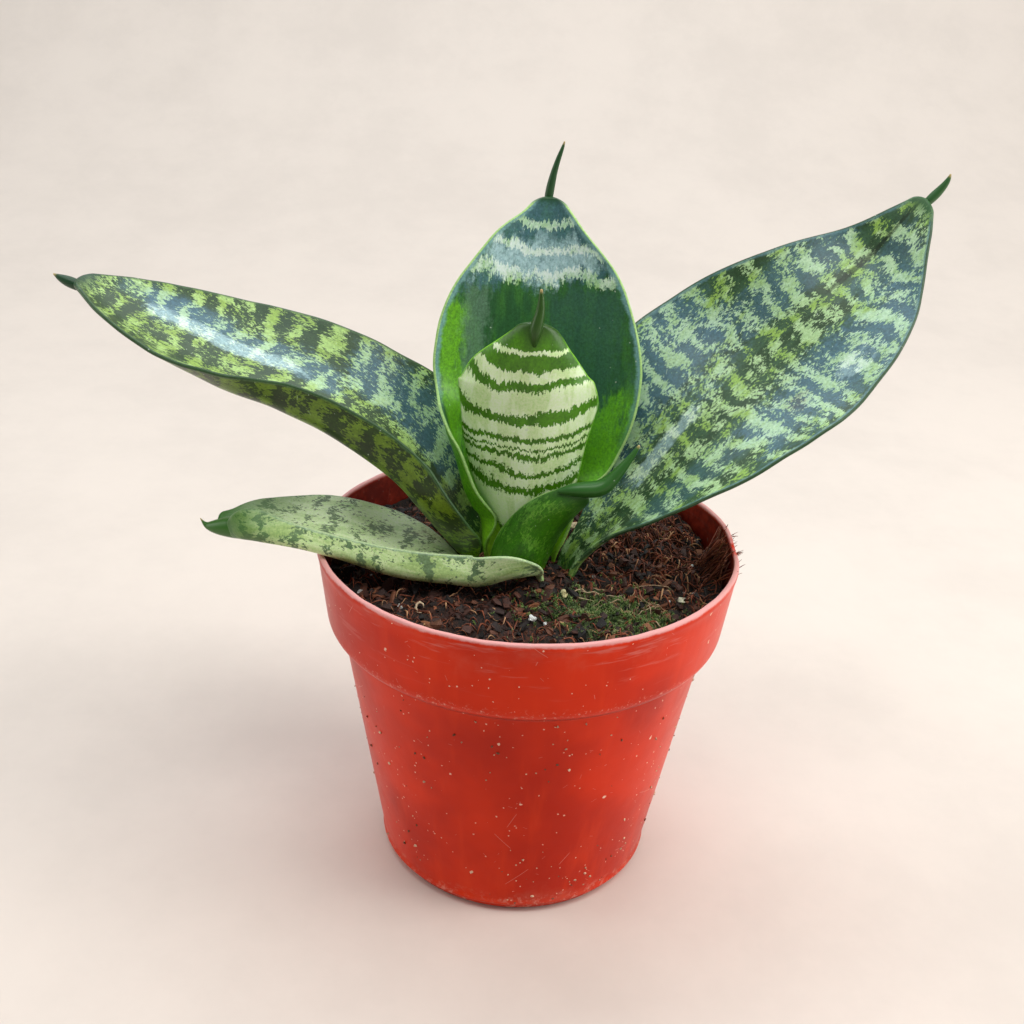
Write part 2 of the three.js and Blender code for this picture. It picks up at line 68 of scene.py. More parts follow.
LEAVES = {
    "leaf_back": Leaf(90, (0.55, 0.9), [
        Station((-1.5, 12, 88), (16, 13), 105),
        Station((-1.5, 13, 97), (20, 15), 105),
        Station((-0.5, 13.5, 107), (25, 16), 88, (70, 0)),
        Station((-1.5, 14.5, 117), (29, 22.5), 68, (62, 0)),
        Station((-0.5, 16, 127), (34.5, 27), 48, (60, 0)),
        Station((0.5, 18.5, 138), (31, 30), 37, (8, 0)),
        Station((0.5, 21.5, 149), (31, 30), 32),
        Station((0.5, 25, 160), (29, 27), 31),
        Station((0.5, 28.5, 170), (24, 22.5), 33),
        Station((0.5, 31.5, 179), (16.5, 15.5), 38),
        Station((1, 34, 186), (8.5, 9), 45),
        Station((1.2, 35.5, 191.5), (3.5, 3.5), 45),
    ], (1.1, 36, 193, 1.5), [
        (0.6, 35.5, 186, 0.3), (0.8, 36.2, 189, 1.0), (1.05, 36.4, 192, 1.35),
        (1.65, 36.2, 195.9, 1.05), (2.5, 36, 200.1, 0.82), (3.6, 36, 203.4, 0.62),
        (4.4, 36, 205.9, 0.35), (4.5, 36, 206.8, 0.12)]),
    "leaf_centre": Leaf(270, (0.5, 1), [
        Station((-1, -2, 88), (6, 6), 75),
        Station((-1, -2.5, 97), (8, 7), 72),
        Station((0, -3, 107), (10.5, 11.5), 62),
        Station((-1, -3, 118), (15, 17), 52),
        Station((-1.5, -3, 130), (17.5, 20), 46),
        Station((-2, -3, 140.5), (21, 20.5), 44),
        Station((-2, -3.5, 147.5), (19.5, 21.5), 44),
        Station((-2, -3.5, 151.5), (17, 18.5), 44),
        Station((-1.5, -4, 158), (12, 12.5), 44),
        Station((-1, -4, 163), (8, 7.5), 46),
        Station((-0.6, -4, 167), (4, 4), 46),
    ], (-0.5, -4.4, 168.7, 1.9), [
        (-1.2, -4.6, 160, 0.3), (-1.3, -4.9, 163, 1.5), (-1.2, -5, 165.8, 1.85),
        (-0.3, -4.7, 168.6, 1.4), (0, -4.5, 171.9, 1.05), (-0.2, -4.5, 175, 0.6),
        (-0.2, -4.5, 176.5, 0.15)]),
    "leaf_hook": Leaf(285, (0.5, 1), [
        Station((0, -7.5, 88), (5.5, 9), 62),
        Station((-0.5, -8, 95), (6.5, 11), 64),
        Station((1.5, -8.3, 103), (7, 11), 62),
        Station((5.5, -8.3, 110.5), (6, 9.5), 60),
        Station((11, -8, 116.5), (5, 6.5), 60),
        Station((15.5, -7.5, 119.5), (3.4, 3.8), 50),
    ], (18, -7.5, 121.5, 2.5), [
        (6.6, -8.6, 121, 0.4), (9.4, -8.5, 121.4, 1.4), (12.4, -8.3, 121.8, 2.1),
        (16.6, -7.8, 121.6, 2.35), (19.3, -7.4, 122.2, 2.35), (21.4, -7, 124, 2.0),
        (23.7, -6.5, 126.9, 1.5), (26.2, -5.8, 130.3, 1.0), (28.1, -5.2, 133.4, 0.6),
        (28.8, -5, 134.6, 0.2)]),
    "leaf_right": Leaf(20, (0.5, 1), [
        Station((12, -1.5, 88), (5, 6), 60),
        Station((13.5, -1.5, 96), (6, 7), 60),
        Station((19, -0.5, 104.5), (7.5, 9), 52, turn=-8),
        Station((30, 2.5, 117.5), (17, 20.5), 44, turn=-15.5),
        Station((44.5, 7.5, 136), (32.5, 31.5), 37, turn=-26),
        Station((61, 16.5, 152), (30.5, 36), 32, turn=-29.5),
        Station((78, 22, 168.5), (21.5, 30), 28, turn=-35),
        Station((92, 28.5, 180), (12.5, 20), 32, turn=-35.5),
        Station((100, 30, 190.5), (6, 10), 36, turn=-36),
        Station((105, 31.5, 196.5), (2.5, 3), 40, turn=-36),
    ], (107, 32, 197.8, 1.4), [
        (101.5, 30.9, 191.3, 0.3), (104.4, 31.8, 194.6, 1.0), (106.6, 32.3, 196.9, 1.35),
        (107.9, 32.3, 198.4, 1.22), (109.1, 32.2, 200.2, 1.0), (109.9, 32, 201.7, 0.75),
        (110.2, 32, 202.9, 0.45), (110.4, 32, 203.8, 0.15)]),
    "leaf_left": Leaf(174, (0.4, 0.82), [
        Station((-15.5, 3, 88), (8, 8), 75),
        Station((-18, 3, 95), (10, 10), 72),
        Station((-22, 2.5, 102), (18.5, 15), 60, (30, 0)),
        Station((-28.5, 1.5, 114.5), (25, 19.5), 46, (43, 0), 8),
        Station((-38, 3, 126), (26.5, 30.5), 36, (70, 0), 10),
        Station((-52, 5.5, 136), (27.5, 28), 28, (72, 0), 13.5),
        Station((-67, 8.5, 142.5), (27, 26), 24, (65, 0), 15),
        Station((-84, 9, 148.5), (27, 24), 24, (35, 0), 12.5),
        Station((-104, 9.5, 157), (17, 16.5), 24, (8, 0), 14),
        Station((-117, 10.5, 162.5), (11, 11.5), 28, (8, 0), 10),
        Station((-126, 11.5, 168), (4, 3.5), 32, turn=6),
    ], (-128.3, 12, 167.8, 1.7), [
        (-121.5, 11.3, 164.2, 0.4), (-124.5, 11.8, 165.6, 1.3), (-127, 12, 166.7, 1.65),
        (-129.1, 12, 167.4, 1.45), (-130.9, 12, 168.3, 0.95), (-131.8, 12, 168.8, 0.4),
        (-132.6, 12, 169.3, 0.1)]),
    "leaf_front": Leaf(188, (0.36, 0.72), [
        Station((4.5, -11.5, 89), (2, 1.5), 10),
        Station((2.5, -11.5, 98), (4, 1.5), 10, (20, 0)),
        Station((-4, -14.5, 99), (13, 1.5), 10, (60, 0), -16),
        Station((-14, -13.5, 96.5), (16, 2.5), 10, (100, 0), -8),
        Station((-25, -12.5, 98), (16, 13), 10, (115, 0), 6),
        Station((-38, -12.5, 100), (15, 21), 10, (118, 0), 9),
        Station((-51, -14, 104), (12, 20.5), 12, (115, 0), 9),
        Station((-64, -14, 106.5), (12, 21), 14, (115, 0), 2),
        Station((-75, -13, 108), (16, 14.5), 18, (110, 0)),
        Station((-82, -13, 107.5), (8, 7.5), 30, (60, 0), 3),
        Station((-85.5, -14, 108), (4.5, 4.5), 40, (20, 0)),
    ], (-87, -14.3, 108.3, 2.2), [
        (-64, -16.5, 109, 0.5), (-69.5, -17, 109.6, 2.2), (-75, -16.8, 109.8, 3.5),
        (-80, -16.2, 109.3, 3.2), (-84.2, -15.6, 108.8, 2.4), (-87, -15.1, 108.5, 1.4),
        (-88.2, -15, 108.9, 0.8), (-89, -15, 109.8, 0.25), (-89.8, -15, 111.2, 0.1)]),
}

# How one face of a leaf is marked. dark and deep are the ground, pale and warm the blotches;
# period, across and tooth are the blotches' sizes in millimetres; cover is the share of pale skin
# at the root and at the tip; regular is 1 where the bands are even; sag lets them hang in the
# middle; bands, where given, are (place along the leaf, half-width) of each pale band.
Marks = namedtuple("Marks", "dark deep pale warm period across tooth cover regular sag bands seed",
                   defaults=((), 0.0))
# A soft patch on the inner face: its colours on the ground and on the blotches, its place from
# start to end, its centre and its half-width. Some patches paint light into the colour: sky
# reflection, highlights, and shadow in a crease.
Patch = namedtuple("Patch", "tones start end centre width strength")
# rim is the width of the border in millimetres; fade is how far the tip's colour reaches down.
Skin = namedtuple("Skin", "inner outer patches margin edge tip fade root rooted rim fibre")

# Blue-grey and mint tones: a little real waxy bloom, mostly painted reflection of the sky on the wax.
BLOOM_AND_SKY_SHEEN = ("#50768a", "#b0d2b8")
# Near-white tones: painted highlight, the glare of the lights on the wax.
PAINTED_GLARE = ("#b4d6d8", "#eaf9f2")
# Bright greens of the lower leaf: its own colour, brightened as painted light falling on and shining
# through it.
FRESH_AND_LIT = ("#68b412", "#80c82c")
LIME = ("#74bc1c", "#8ccb30")
TEAL = ("#35614c", "#6a9c80")

SKINS = {
    "leaf_back": Skin(
        Marks("#2a5c30", "#38702c", "#cfe8c6", "#a6cf84", 9, 13, 0.6, (0.1, 0.42), 0.6, 1.5,
              ((84, 2.2), (91.5, 1.2), (98.5, 1.3)), 3.0),
        Marks("#4f9a1c", "#62a824", "#86c23a", "#78b62c", 9, 13, 0.7, (0.2, 0.4), 0.2, 0, (), 4.0),
        (Patch(TEAL, 40, 84, 13, 18, 0.9), Patch(LIME, 14, 80, -26, 6, 0.9),
         Patch(FRESH_AND_LIT, 8, 62, -13, 12, 0.85), Patch(FRESH_AND_LIT, 8, 56, 20, 13, 0.9),
         Patch(("#6f8f78", "#93b298"), 48, 86, -19, 5, 0.6), Patch(BLOOM_AND_SKY_SHEEN, 80, 112, 0, 30, 0.75),
         Patch(PAINTED_GLARE, 82, 99, -9, 15, 1.0), Patch(PAINTED_GLARE, 83, 96, 8, 13, 1.0)),
        "#7aa8a8", "#a9d07f", "#1f4a22", 3, "#8cc41e", 38, 1.9, 0.5),
    "leaf_centre": Skin(
        Marks("#4c8a14", "#3f7a10", "#bfe08f", "#9ccf50", 7, 26, 0.9, (0.6, 0.35), 0.6, 3.5, (), 12.0),
        Marks("#4e8a08", "#3f7406", "#e6f8cc", "#d2eaac", 7, 22, 0.7, (0.66, 0.5), 0.84, 3.5,
              ((25.0, 6.6), (36.6, 3.9), (43.2, 1.7), (48.4, 2.0), (57, 3.2), (63.8, 1.5), (70.5, 0.7)),
              11.0),
        (), "#5fa516", "#86c82a", "#2a4f10", 7, "#a2d83a", 13, 1.0, 0.25),
    "leaf_hook": Skin(
        Marks("#3a7a12", "#2c640c", "#5a9a24", "#4a8a1c", 12, 9, 0.6, (0.3, 0.3), 0.1, 0, (), 18.0),
        Marks("#3f7c0e", "#30660a", "#68a030", "#569028", 12, 9, 0.5, (0.3, 0.3), 0.1, 0, (), 17.0),
        (), "#4c8a2c", "#93b868", "#2f6422", 10, "#8cc41e", 14, 0.5, 0.6),
    "leaf_right": Skin(
        Marks("#2e4a2a", "#3a5a3c", "#b0cf98", "#93b956", 7.5, 8, 0.5, (0.46, 0.44), 0.3, 1.5, (), 23.0),
        Marks("#3a5a34", "#46663c", "#a0c070", "#8bb04c", 9, 12, 0.8, (0.46, 0.46), 0.3, 0, (), 24.0),
        (Patch(BLOOM_AND_SKY_SHEEN, 18, 90, -20, 18, 0.8), Patch(BLOOM_AND_SKY_SHEEN, 84, 132, -11, 8, 0.6),
         Patch(BLOOM_AND_SKY_SHEEN, 62, 142, 21, 13, 0.8), Patch(BLOOM_AND_SKY_SHEEN, 112, 146, 6, 8, 0.5),
         Patch(BLOOM_AND_SKY_SHEEN, 30, 66, 15, 8, 0.4), Patch(PAINTED_GLARE, 36, 66, -2, 2.6, 0.6),
         Patch(PAINTED_GLARE, 98, 109, 22, 4, 0.5), Patch(("#4a3c2c", "#7a6a4c"), 78, 88, 20, 3.5, 0.5),
         # Painted shadow: a near black line down the midrib crease.
         Patch(("#12260f", "#1c3514"), 108, 150, -0.8, 1.0, 1.0)),
        "#5a8084", "#31502f", "#2f5c2c", 7, "#4f9a1a", 14, 1.3, 0.4),
    "leaf_left": Skin(
        Marks("#334c2a", "#2a4425", "#a6c674", "#90b050", 8, 8, 0.5, (0.47, 0.41), 0.3, 1.5, (), 31.0),
        Marks("#1a3200", "#264204", "#5c7a12", "#6c8c20", 9, 13, 0.8, (0.5, 0.5), 0.3, 0, (), 33.0),
        (Patch(BLOOM_AND_SKY_SHEEN, 24, 72, 17, 13, 0.75), Patch(BLOOM_AND_SKY_SHEEN, 66, 128, 7, 7, 0.7),
         Patch(PAINTED_GLARE, 72, 124, 4, 3.4, 0.8), Patch(BLOOM_AND_SKY_SHEEN, 100, 138, 9, 5, 0.4),
         Patch(("#234d1a", "#5f7a2c"), 6, 30, 4, 12, 0.6)),
        "#46663c", "#2c4c26", "#22462a", 7, "#3f7a1c", 14, 1.0, 0.3),
    "leaf_front": Skin(
        Marks("#66804c", "#587242", "#e0f4c0", "#c6e09a", 7, 7, 0.5, (0.7, 0.66), 0.1, 0, (), 43.0),
        Marks("#66845a", "#728e62", "#cde4a6", "#aeca80", 9, 12, 1.2, (0.62, 0.6), 0.2, 0, (), 44.0),
        (Patch(("#86a284", "#d8ecc8"), 20, 90, 10, 16, 0.3),
         Patch(("#8c8a5a", "#aca678"), 28, 48, 14, 5, 0.4)),
        "#9cb896", "#b8d09c", "#33651a", 26, "#4f9a1c", 5, 0.9, 0.4),
}


# ---------------------------------------------------------------- small helpers
def linear(code):
    """A #rrggbb colour as scene-linear red, green, blue and alpha."""
    values = [int(code[k:k + 2], 16) / 255 for k in (1, 3, 5)]
    return (*[v / 12.92 if v <= 0.04045 else ((v + 0.055) / 1.055) ** 2.4 for v in values], 1.0)


def raised_parts(raised, kind):
    """The vertices, edges or faces among the parts that an extrusion made."""
    return [item for item in raised if isinstance(item, kind)]


def polyline(bm, points):
    """A line of new vertices and edges through the points."""
    spots = [bm.verts.new(point) for point in points]
    return spots + [bm.edges.new(pair) for pair in zip(spots, spots[1:])]


def turn_round(bm, profile, steps):
    """Turns a profile about Z and closes its seam."""
    bmesh.ops.spin(bm, geom=profile, cent=(0, 0, 0), axis=(0, 0, 1), angle=2 * math.pi, steps=steps,
                   use_merge=True)
    bmesh.ops.remove_doubles(bm, verts=bm.verts, dist=0.0001)


def to_metres(bm):
    """Turns the faces outwards and scales the millimetres to metres."""
    bmesh.ops.recalc_face_normals(bm, faces=bm.faces)
    bmesh.ops.scale(bm, vec=(MM, MM, MM), verts=bm.verts)
    return bm


def in_scene(name, data):
    """A new object at the origin of the scene."""
    made = bpy.data.objects.new(name, data)
    bpy.context.scene.collection.objects.link(made)
    return made


def lerp(a, b, share):
    return a + (b - a) * share


def smooth(value):
    """0 below 0, 1 above 1, with a soft start and end between."""
    value = min(max(value, 0.0), 1.0)
    return value * value * (3 - 2 * value)


def finish_piece(bm, name, material, replaced=(), sharp=None):
    """Turns a bmesh into a finished object at the origin that rides on the plant."""
    if sharp is not None:
        for edge in bm.edges:
            if edge.calc_face_angle(0.0) > sharp:
                edge.smooth = False
    for face in bm.faces:
        face.smooth = True
    mesh = bpy.data.meshes.new(name)
    bm.to_mesh(mesh)
    bm.free()
    mesh.materials.append(material)
    piece = in_scene(name, mesh)
    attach(piece, BODY)
    if replaced:
        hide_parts(*replaced)


def template(build):
    """A small mesh that build() shapes, to be stamped many times."""
    bm = bmesh.new()
    build(bm)
    mesh = bpy.data.meshes.new("stamp")
    bm.to_mesh(mesh)
    bm.free()
    return mesh


def stamp(bm, mesh, place, shade):
    """Adds a copy of mesh whose points are moved by place(); shade picks its colour."""
    first = len(bm.verts)
    bm.from_mesh(mesh)
    bm.verts.ensure_lookup_table()
    layer = bm.verts.layers.float["shade"]
    for vertex in bm.verts[first:]:
        vertex.co = place(vertex.co)
        vertex[layer] = shade


def shaded_mesh():
    """An empty bmesh whose points carry a shade from 0 to 1."""
    bm = bmesh.new()
    bm.verts.layers.float.new("shade")
    return bm


# ---------------------------------------------------------------- shader nodes
class Value:
    """An output of a shader graph; + - * / and ** join it to others and to plain numbers."""

    def __init__(self, graph, socket):
        self.graph = graph
        self.socket = socket


for sign, operation in (("add", "ADD"), ("sub", "SUBTRACT"), ("mul", "MULTIPLY"),
                        ("truediv", "DIVIDE"), ("pow", "POWER")):
    setattr(Value, f"__{sign}__", lambda a, b, kind=operation: a.graph.math(kind, a, b))
    setattr(Value, f"__r{sign}__", lambda b, a, kind=operation: b.graph.math(kind, a, b))


class Graph:
    """Adds nodes to a tree; an input takes a Value, a number, a vector or a #rrggbb colour."""

    def __init__(self, tree):
        self.tree = tree

    def feed(self, socket, value):
        if isinstance(value, Value):
            self.tree.links.new(value.socket, socket)
        elif isinstance(value, str):
            socket.default_value = linear(value)
        elif value is not None:
            socket.default_value = value

    def add(self, kind, inputs=None, **settings):
        node = self.tree.nodes.new(kind)
        for key, value in settings.items():
            setattr(node, key, value)
        for key, value in (inputs or {}).items():
            self.feed(node.inputs[key], value)
        return node

    def one(self, kind, inputs, output=0, **settings):
        """One output of a new node."""
        return Value(self, self.add(kind, inputs, **settings).outputs[output])

    def named(self, node):
        """All outputs of a node, by name."""
        return {socket.name: Value(self, socket) for socket in node.outputs}

    def math(self, operation, a, b=None):
        return self.one("ShaderNodeMath", {0: a, 1: b}, operation=operation)

    def vector(self, operation, a, b=None, output=0):
        return self.one("ShaderNodeVectorMath", {0: a, 1: b}, output, operation=operation)

    def scale(self, vector, factor):
        return self.one("ShaderNodeVectorMath", {0: vector, "Scale": factor}, operation="SCALE")

    def blend(self, share, a, b, mode="MIX"):
        inputs = {0: share, 6: a, 7: b}
        return self.one("ShaderNodeMix", inputs, 2, data_type="RGBA", blend_type=mode)

    def step(self, value, low, high):
        """0 below low and 1 above high, soft between; low above high turns it round."""
        inputs = {"Value": value, "From Min": low, "From Max": high}
        return self.one("ShaderNodeMapRange", inputs, interpolation_type="SMOOTHSTEP")

    def noise(self, vector, scale=1.0, detail=2.0, roughness=0.5):
        inputs = {"Vector": vector, "Scale": scale, "Detail": detail, "Roughness": roughness}
        return self.one("ShaderNodeTexNoise", inputs)

    def cells(self, vector, scale):
        return self.named(self.add("ShaderNodeTexVoronoi", {"Vector": vector, "Scale": scale}))

    def place(self, x, y, z):
        return self.one("ShaderNodeCombineXYZ", {0: x, 1: y, 2: z})

    def split(self, vector):
        return list(self.named(self.add("ShaderNodeSeparateXYZ", {0: vector})).values())

    def attribute(self, name):
        return self.named(self.add("ShaderNodeAttribute", attribute_name=name))

    def point(self, scale=1 / MM):
        """The place on the piece, in millimetres unless another scale is given."""
        return self.scale(self.named(self.add("ShaderNodeTexCoord"))["Object"], scale)

    def group(self, name, **inputs):
        """The outputs of the shared node group of that name."""
        tree = bpy.data.node_groups.get(name) or GROUP_BUILDERS[name](name)
        return self.named(self.add("ShaderNodeGroup", inputs, node_tree=tree))

    def bump(self, height, strength, distance):
        inputs = {"Height": height, "Strength": strength, "Distance": distance}
        return self.one("ShaderNodeBump", inputs)


def new_group(name, inputs, outputs):
    """A node group with named sockets; an input without a default takes a vector."""
    tree = bpy.data.node_groups.new(name, "ShaderNodeTree")
    for label, default in inputs.items():
        kind = "NodeSocketVector" if default is None else "NodeSocketFloat"
        socket = tree.interface.new_socket(name=label, in_out="INPUT", socket_type=kind)
        if default is not None:
            socket.default_value = default
    for label in outputs:
        tree.interface.new_socket(name=label, in_out="OUTPUT", socket_type="NodeSocketFloat")
    g = Graph(tree)
    given = g.named(tree.nodes.new("NodeGroupInput"))
    result = tree.nodes.new("NodeGroupOutput").inputs
    return tree, g, given, result


def shift_group(name):
    """Distance along a leaf, pushed about so that even bands come out jagged and wavy."""
    tree, g, given, result = new_group(name, {
        "Blade": None, "Period": 10.0, "Across": 15.0,
        "Tooth": 0.8, "Sag": 0.0, "Seed": 0.0}, ["Along"])
    across, along, _ = g.split(given["Blade"])
    seed, period, tooth = given["Seed"], given["Period"], given["Tooth"]
    thin = across / tooth
    long = along / (tooth * 7.0)
    comb = g.noise(g.place(thin, long, seed), detail=3, roughness=0.6)
    comb = (comb - 0.5) * period * 0.62
    wide = across / given["Across"]
    drift = g.noise(g.place(wide, along / (period * 3.0), seed + 9.0))
    drift = (drift - 0.5) * period * 1.2
    side = (across / 20.0) ** 2.0
    hang = side * given["Sag"]
    moved = along + comb + drift - hang
    g.feed(result["Along"], moved)
    return tree


def marks_group(name):
    """Pale jagged blotches on a leaf: Ripple is the even part, Along the shifted distance."""
    tree, g, given, result = new_group(name, {
        "Blade": None, "Along": 0.0, "Ripple": 0.5,
        "Period": 10.0, "Across": 15.0, "Tooth": 0.8,
        "Cover": 0.5, "Regular": 0.3, "Seed": 0.0},
        ["Mask", "Blotch"])
    across, along, _ = g.split(given["Blade"])
    seed, moved = given["Seed"], given["Along"]
    wide = across / given["Across"]
    blotch = g.noise(g.place(wide, moved / (given["Period"] * 0.6), seed), detail=3, roughness=0.55)
    blotch = (blotch - 0.5) * 2.6 + 0.5
    coarse = (given["Ripple"] - blotch) * given["Regular"] + blotch
    grain = given["Tooth"] * 2.6
    islands = g.noise(g.place(across / grain, moved / grain, seed + 21.0), detail=4, roughness=0.7)
    broken = given["Regular"] * -1.4 + 2.4
    value = (islands - 0.5) * broken + coarse
    dots = g.noise(g.place(across / 0.5, along / 0.9, seed + 33.0), detail=1)
    value = (dots - 0.5) * 0.7 + value
    soft = value - (1.0 - given["Cover"])
    g.feed(result["Mask"], g.step(soft, -0.04, 0.05))
    g.feed(result["Blotch"], g.step(soft, -0.3, 0.6))
    return tree


def veins_group(name):
    """Fine ridges that run the length of a leaf."""
    tree, g, given, result = new_group(name, {
        "Blade": None, "Spacing": 0.7, "Seed": 0.0},
        ["Height", "Stripe"])
    across, along, face = g.split(given["Blade"])
    seed = given["Seed"] + face
    thin = g.place(across / given["Spacing"], along / 30.0, seed)
    broad = g.place(across / (given["Spacing"] * 3.5), along / 70.0, seed)
    fine = g.noise(thin, detail=2)
    wide = g.noise(broad, detail=2)
    g.feed(result["Height"], fine * 0.5 + wide * 0.5)
    g.feed(result["Stripe"], g.step(fine, 0.42, 0.6))
    return tree


def patch_group(name):
    """A soft lengthwise patch between two places along a leaf, its ends and sides broken."""
    tree, g, given, result = new_group(name, {
        "Blade": None, "Start": 0.0, "End": 100.0,
        "Centre": 0.0, "Width": 5.0, "Seed": 0.0}, ["Mask"])
    across, along, face = g.split(given["Blade"])
    wobble = g.noise(g.place(across / 7.0, along / 22.0, given["Seed"]), detail=3)
    wobble = wobble - 0.5
    brush = g.noise(g.place(across / 1.5, along / 2.6, given["Seed"]), detail=4, roughness=0.7)
    brush = brush - 0.5
    away = g.math("ABSOLUTE", across - given["Centre"])
    away = wobble * given["Width"] * -1.5 + away
    away = brush * given["Width"] * -1.4 + away
    sides = g.step(away, given["Width"], given["Width"] * 0.4)
    shifted = wobble * 20.0 + brush * 14.0 + along
    start = g.step(shifted, given["Start"], given["Start"] + 5.0)
    end = g.step(shifted, given["End"], given["End"] - 5.0)
    inner = g.step(face, 0.0, 0.5)
    mask = sides * inner * start * end
    g.feed(result["Mask"], mask)
    return tree


def specks_group(name):
    """Scattered flecks: Share of the cells of that Size hold one."""
    tree, g, given, result = new_group(name, {
        "Vector": None, "Size": 1.0, "Share": 0.1,
        "Radius": 0.3}, ["Mask", "Shade"])
    scale = 1.0 / given["Size"]
    found = g.cells(given["Vector"], scale)
    chance, shade, _ = g.split(found["Color"])
    there = g.step(given["Share"] - chance, 0.0, 0.001)
    ragged = g.noise(given["Vector"], scale * 4.0)
    distance = (ragged - 0.5) * 0.35 + found["Distance"]
    inside = g.step(distance, given["Radius"], given["Radius"] * 0.7)
    g.feed(result["Mask"], inside * there)
    g.feed(result["Shade"], shade)
    return tree


def scratches_group(name):
    """Short straight lines, as left by rubbing: Share of the cells of that Size hold one."""
    tree, g, given, result = new_group(name, {
        "Vector": None, "Size": 10.0, "Width": 0.1,
        "Share": 0.5}, ["Mask"])
    scale = 1.0 / given["Size"]
    spot = g.scale(given["Vector"], scale)
    found = g.cells(spot, 1.0)
    away = g.vector("SUBTRACT", spot, found["Position"])
    turn = g.vector("NORMALIZE", g.vector("SUBTRACT", found["Color"], (0.5, 0.5, 0.5)))
    chance = g.split(found["Color"])[1]
    side = g.math("ABSOLUTE", g.vector("DOT_PRODUCT", away, turn, "Value"))
    length = g.vector("LENGTH", away, output="Value")
    half = chance * 0.4 + 0.1
    there = g.step(length, half, half * 0.85)
    kept = g.step(given["Share"] - chance, 0.0, 0.001)
    thin = g.step(side * given["Size"], given["Width"], 0.0)
    g.feed(result["Mask"], thin * there * kept)
    return tree


def dust_group(name):
    """A cloudy haze of dust, thicker where Amount is higher."""
    tree, g, given, result = new_group(name, {
        "Vector": None, "Size": 12.0, "Amount": 0.5}, ["Mask"])
    scale = 1.0 / given["Size"]
    cloud = g.noise(given["Vector"], scale, detail=6, roughness=0.65)
    level = 0.85 - given["Amount"] * 0.6
    g.feed(result["Mask"], g.step(cloud, level, level + 0.3))
    return tree


GROUP_BUILDERS = {
    "Leaf shift": shift_group,
    "Leaf marks": marks_group,
    "Leaf veins": veins_group,
    "Leaf patch": patch_group,
    "Specks": specks_group,
    "Scratches": scratches_group,
    "Dust": dust_group,
}


def new_material(name):
    """An empty material with its graph and its surface shader."""
    material = bpy.data.materials.new(name)
    material.use_nodes = True
    material.node_tree.nodes.clear()
    g = Graph(material.node_tree)
    shader = g.add("ShaderNodeBsdfPrincipled")
    g.add("ShaderNodeOutputMaterial", {"Surface": Value(g, shader.outputs[0])})
    return material, g, shader.inputs


def dress(g, surface, colour, rough, height, strength, depth):
    """Feeds a surface's colour, its roughness and a relief of that strength and depth in metres."""
    g.feed(surface["Base Color"], colour)
    g.feed(surface["Roughness"], rough)
    g.feed(surface["Normal"], g.bump(height, strength, depth))


# ---------------------------------------------------------------- leaf material
def ripple(g, moved, marks, length):
    """The even part of a leaf's bands, 1 in the middle of a pale band and 0 between two."""
    if not marks.bands:
        turns = moved / marks.period * math.tau
        return g.math("SINE", turns) * 0.5 + 0.5
    node = g.add("ShaderNodeValToRGB", {0: moved / length})
    stops = node.color_ramp.elements
    for place, half in marks.bands:
        for distance, value in ((-1.5, 0.0), (-0.5, 1.0), (0.5, 1.0), (1.5, 0.0)):
            stops.new((place + distance * half) / length).color = (value, value, value, 1)
    stops[0].color = stops[-1].color = (0, 0, 0, 1)
    return Value(g, node.outputs[0])


def marked_skin(g, blade, marks, length):
    """Ground and jagged pale bands of one face: its colour, where it is pale, and how pale."""
    across, along, _ = g.split(blade)
    sizes = {"Blade": blade, "Period": marks.period, "Across": marks.across, "Tooth": marks.tooth,
             "Seed": marks.seed}
    moved = g.group("Leaf shift", **sizes, Sag=marks.sag)["Along"]
    root, tip = marks.cover
    cover = along / length * (tip - root) + root
    pale = g.group("Leaf marks", **sizes, Along=moved, Ripple=ripple(g, moved, marks, length),
                   Cover=cover, Regular=marks.regular)
    tone = g.noise(g.place(across / 4.0, along / 16.0, marks.seed), detail=3)
    ground = g.blend(g.step(tone, 0.40, 0.60), marks.dark, marks.deep)
    light = g.blend(g.step(tone, 0.44, 0.58), marks.pale, marks.warm)
    return g.blend(pale["Mask"], ground, light), pale["Mask"], pale["Blotch"]


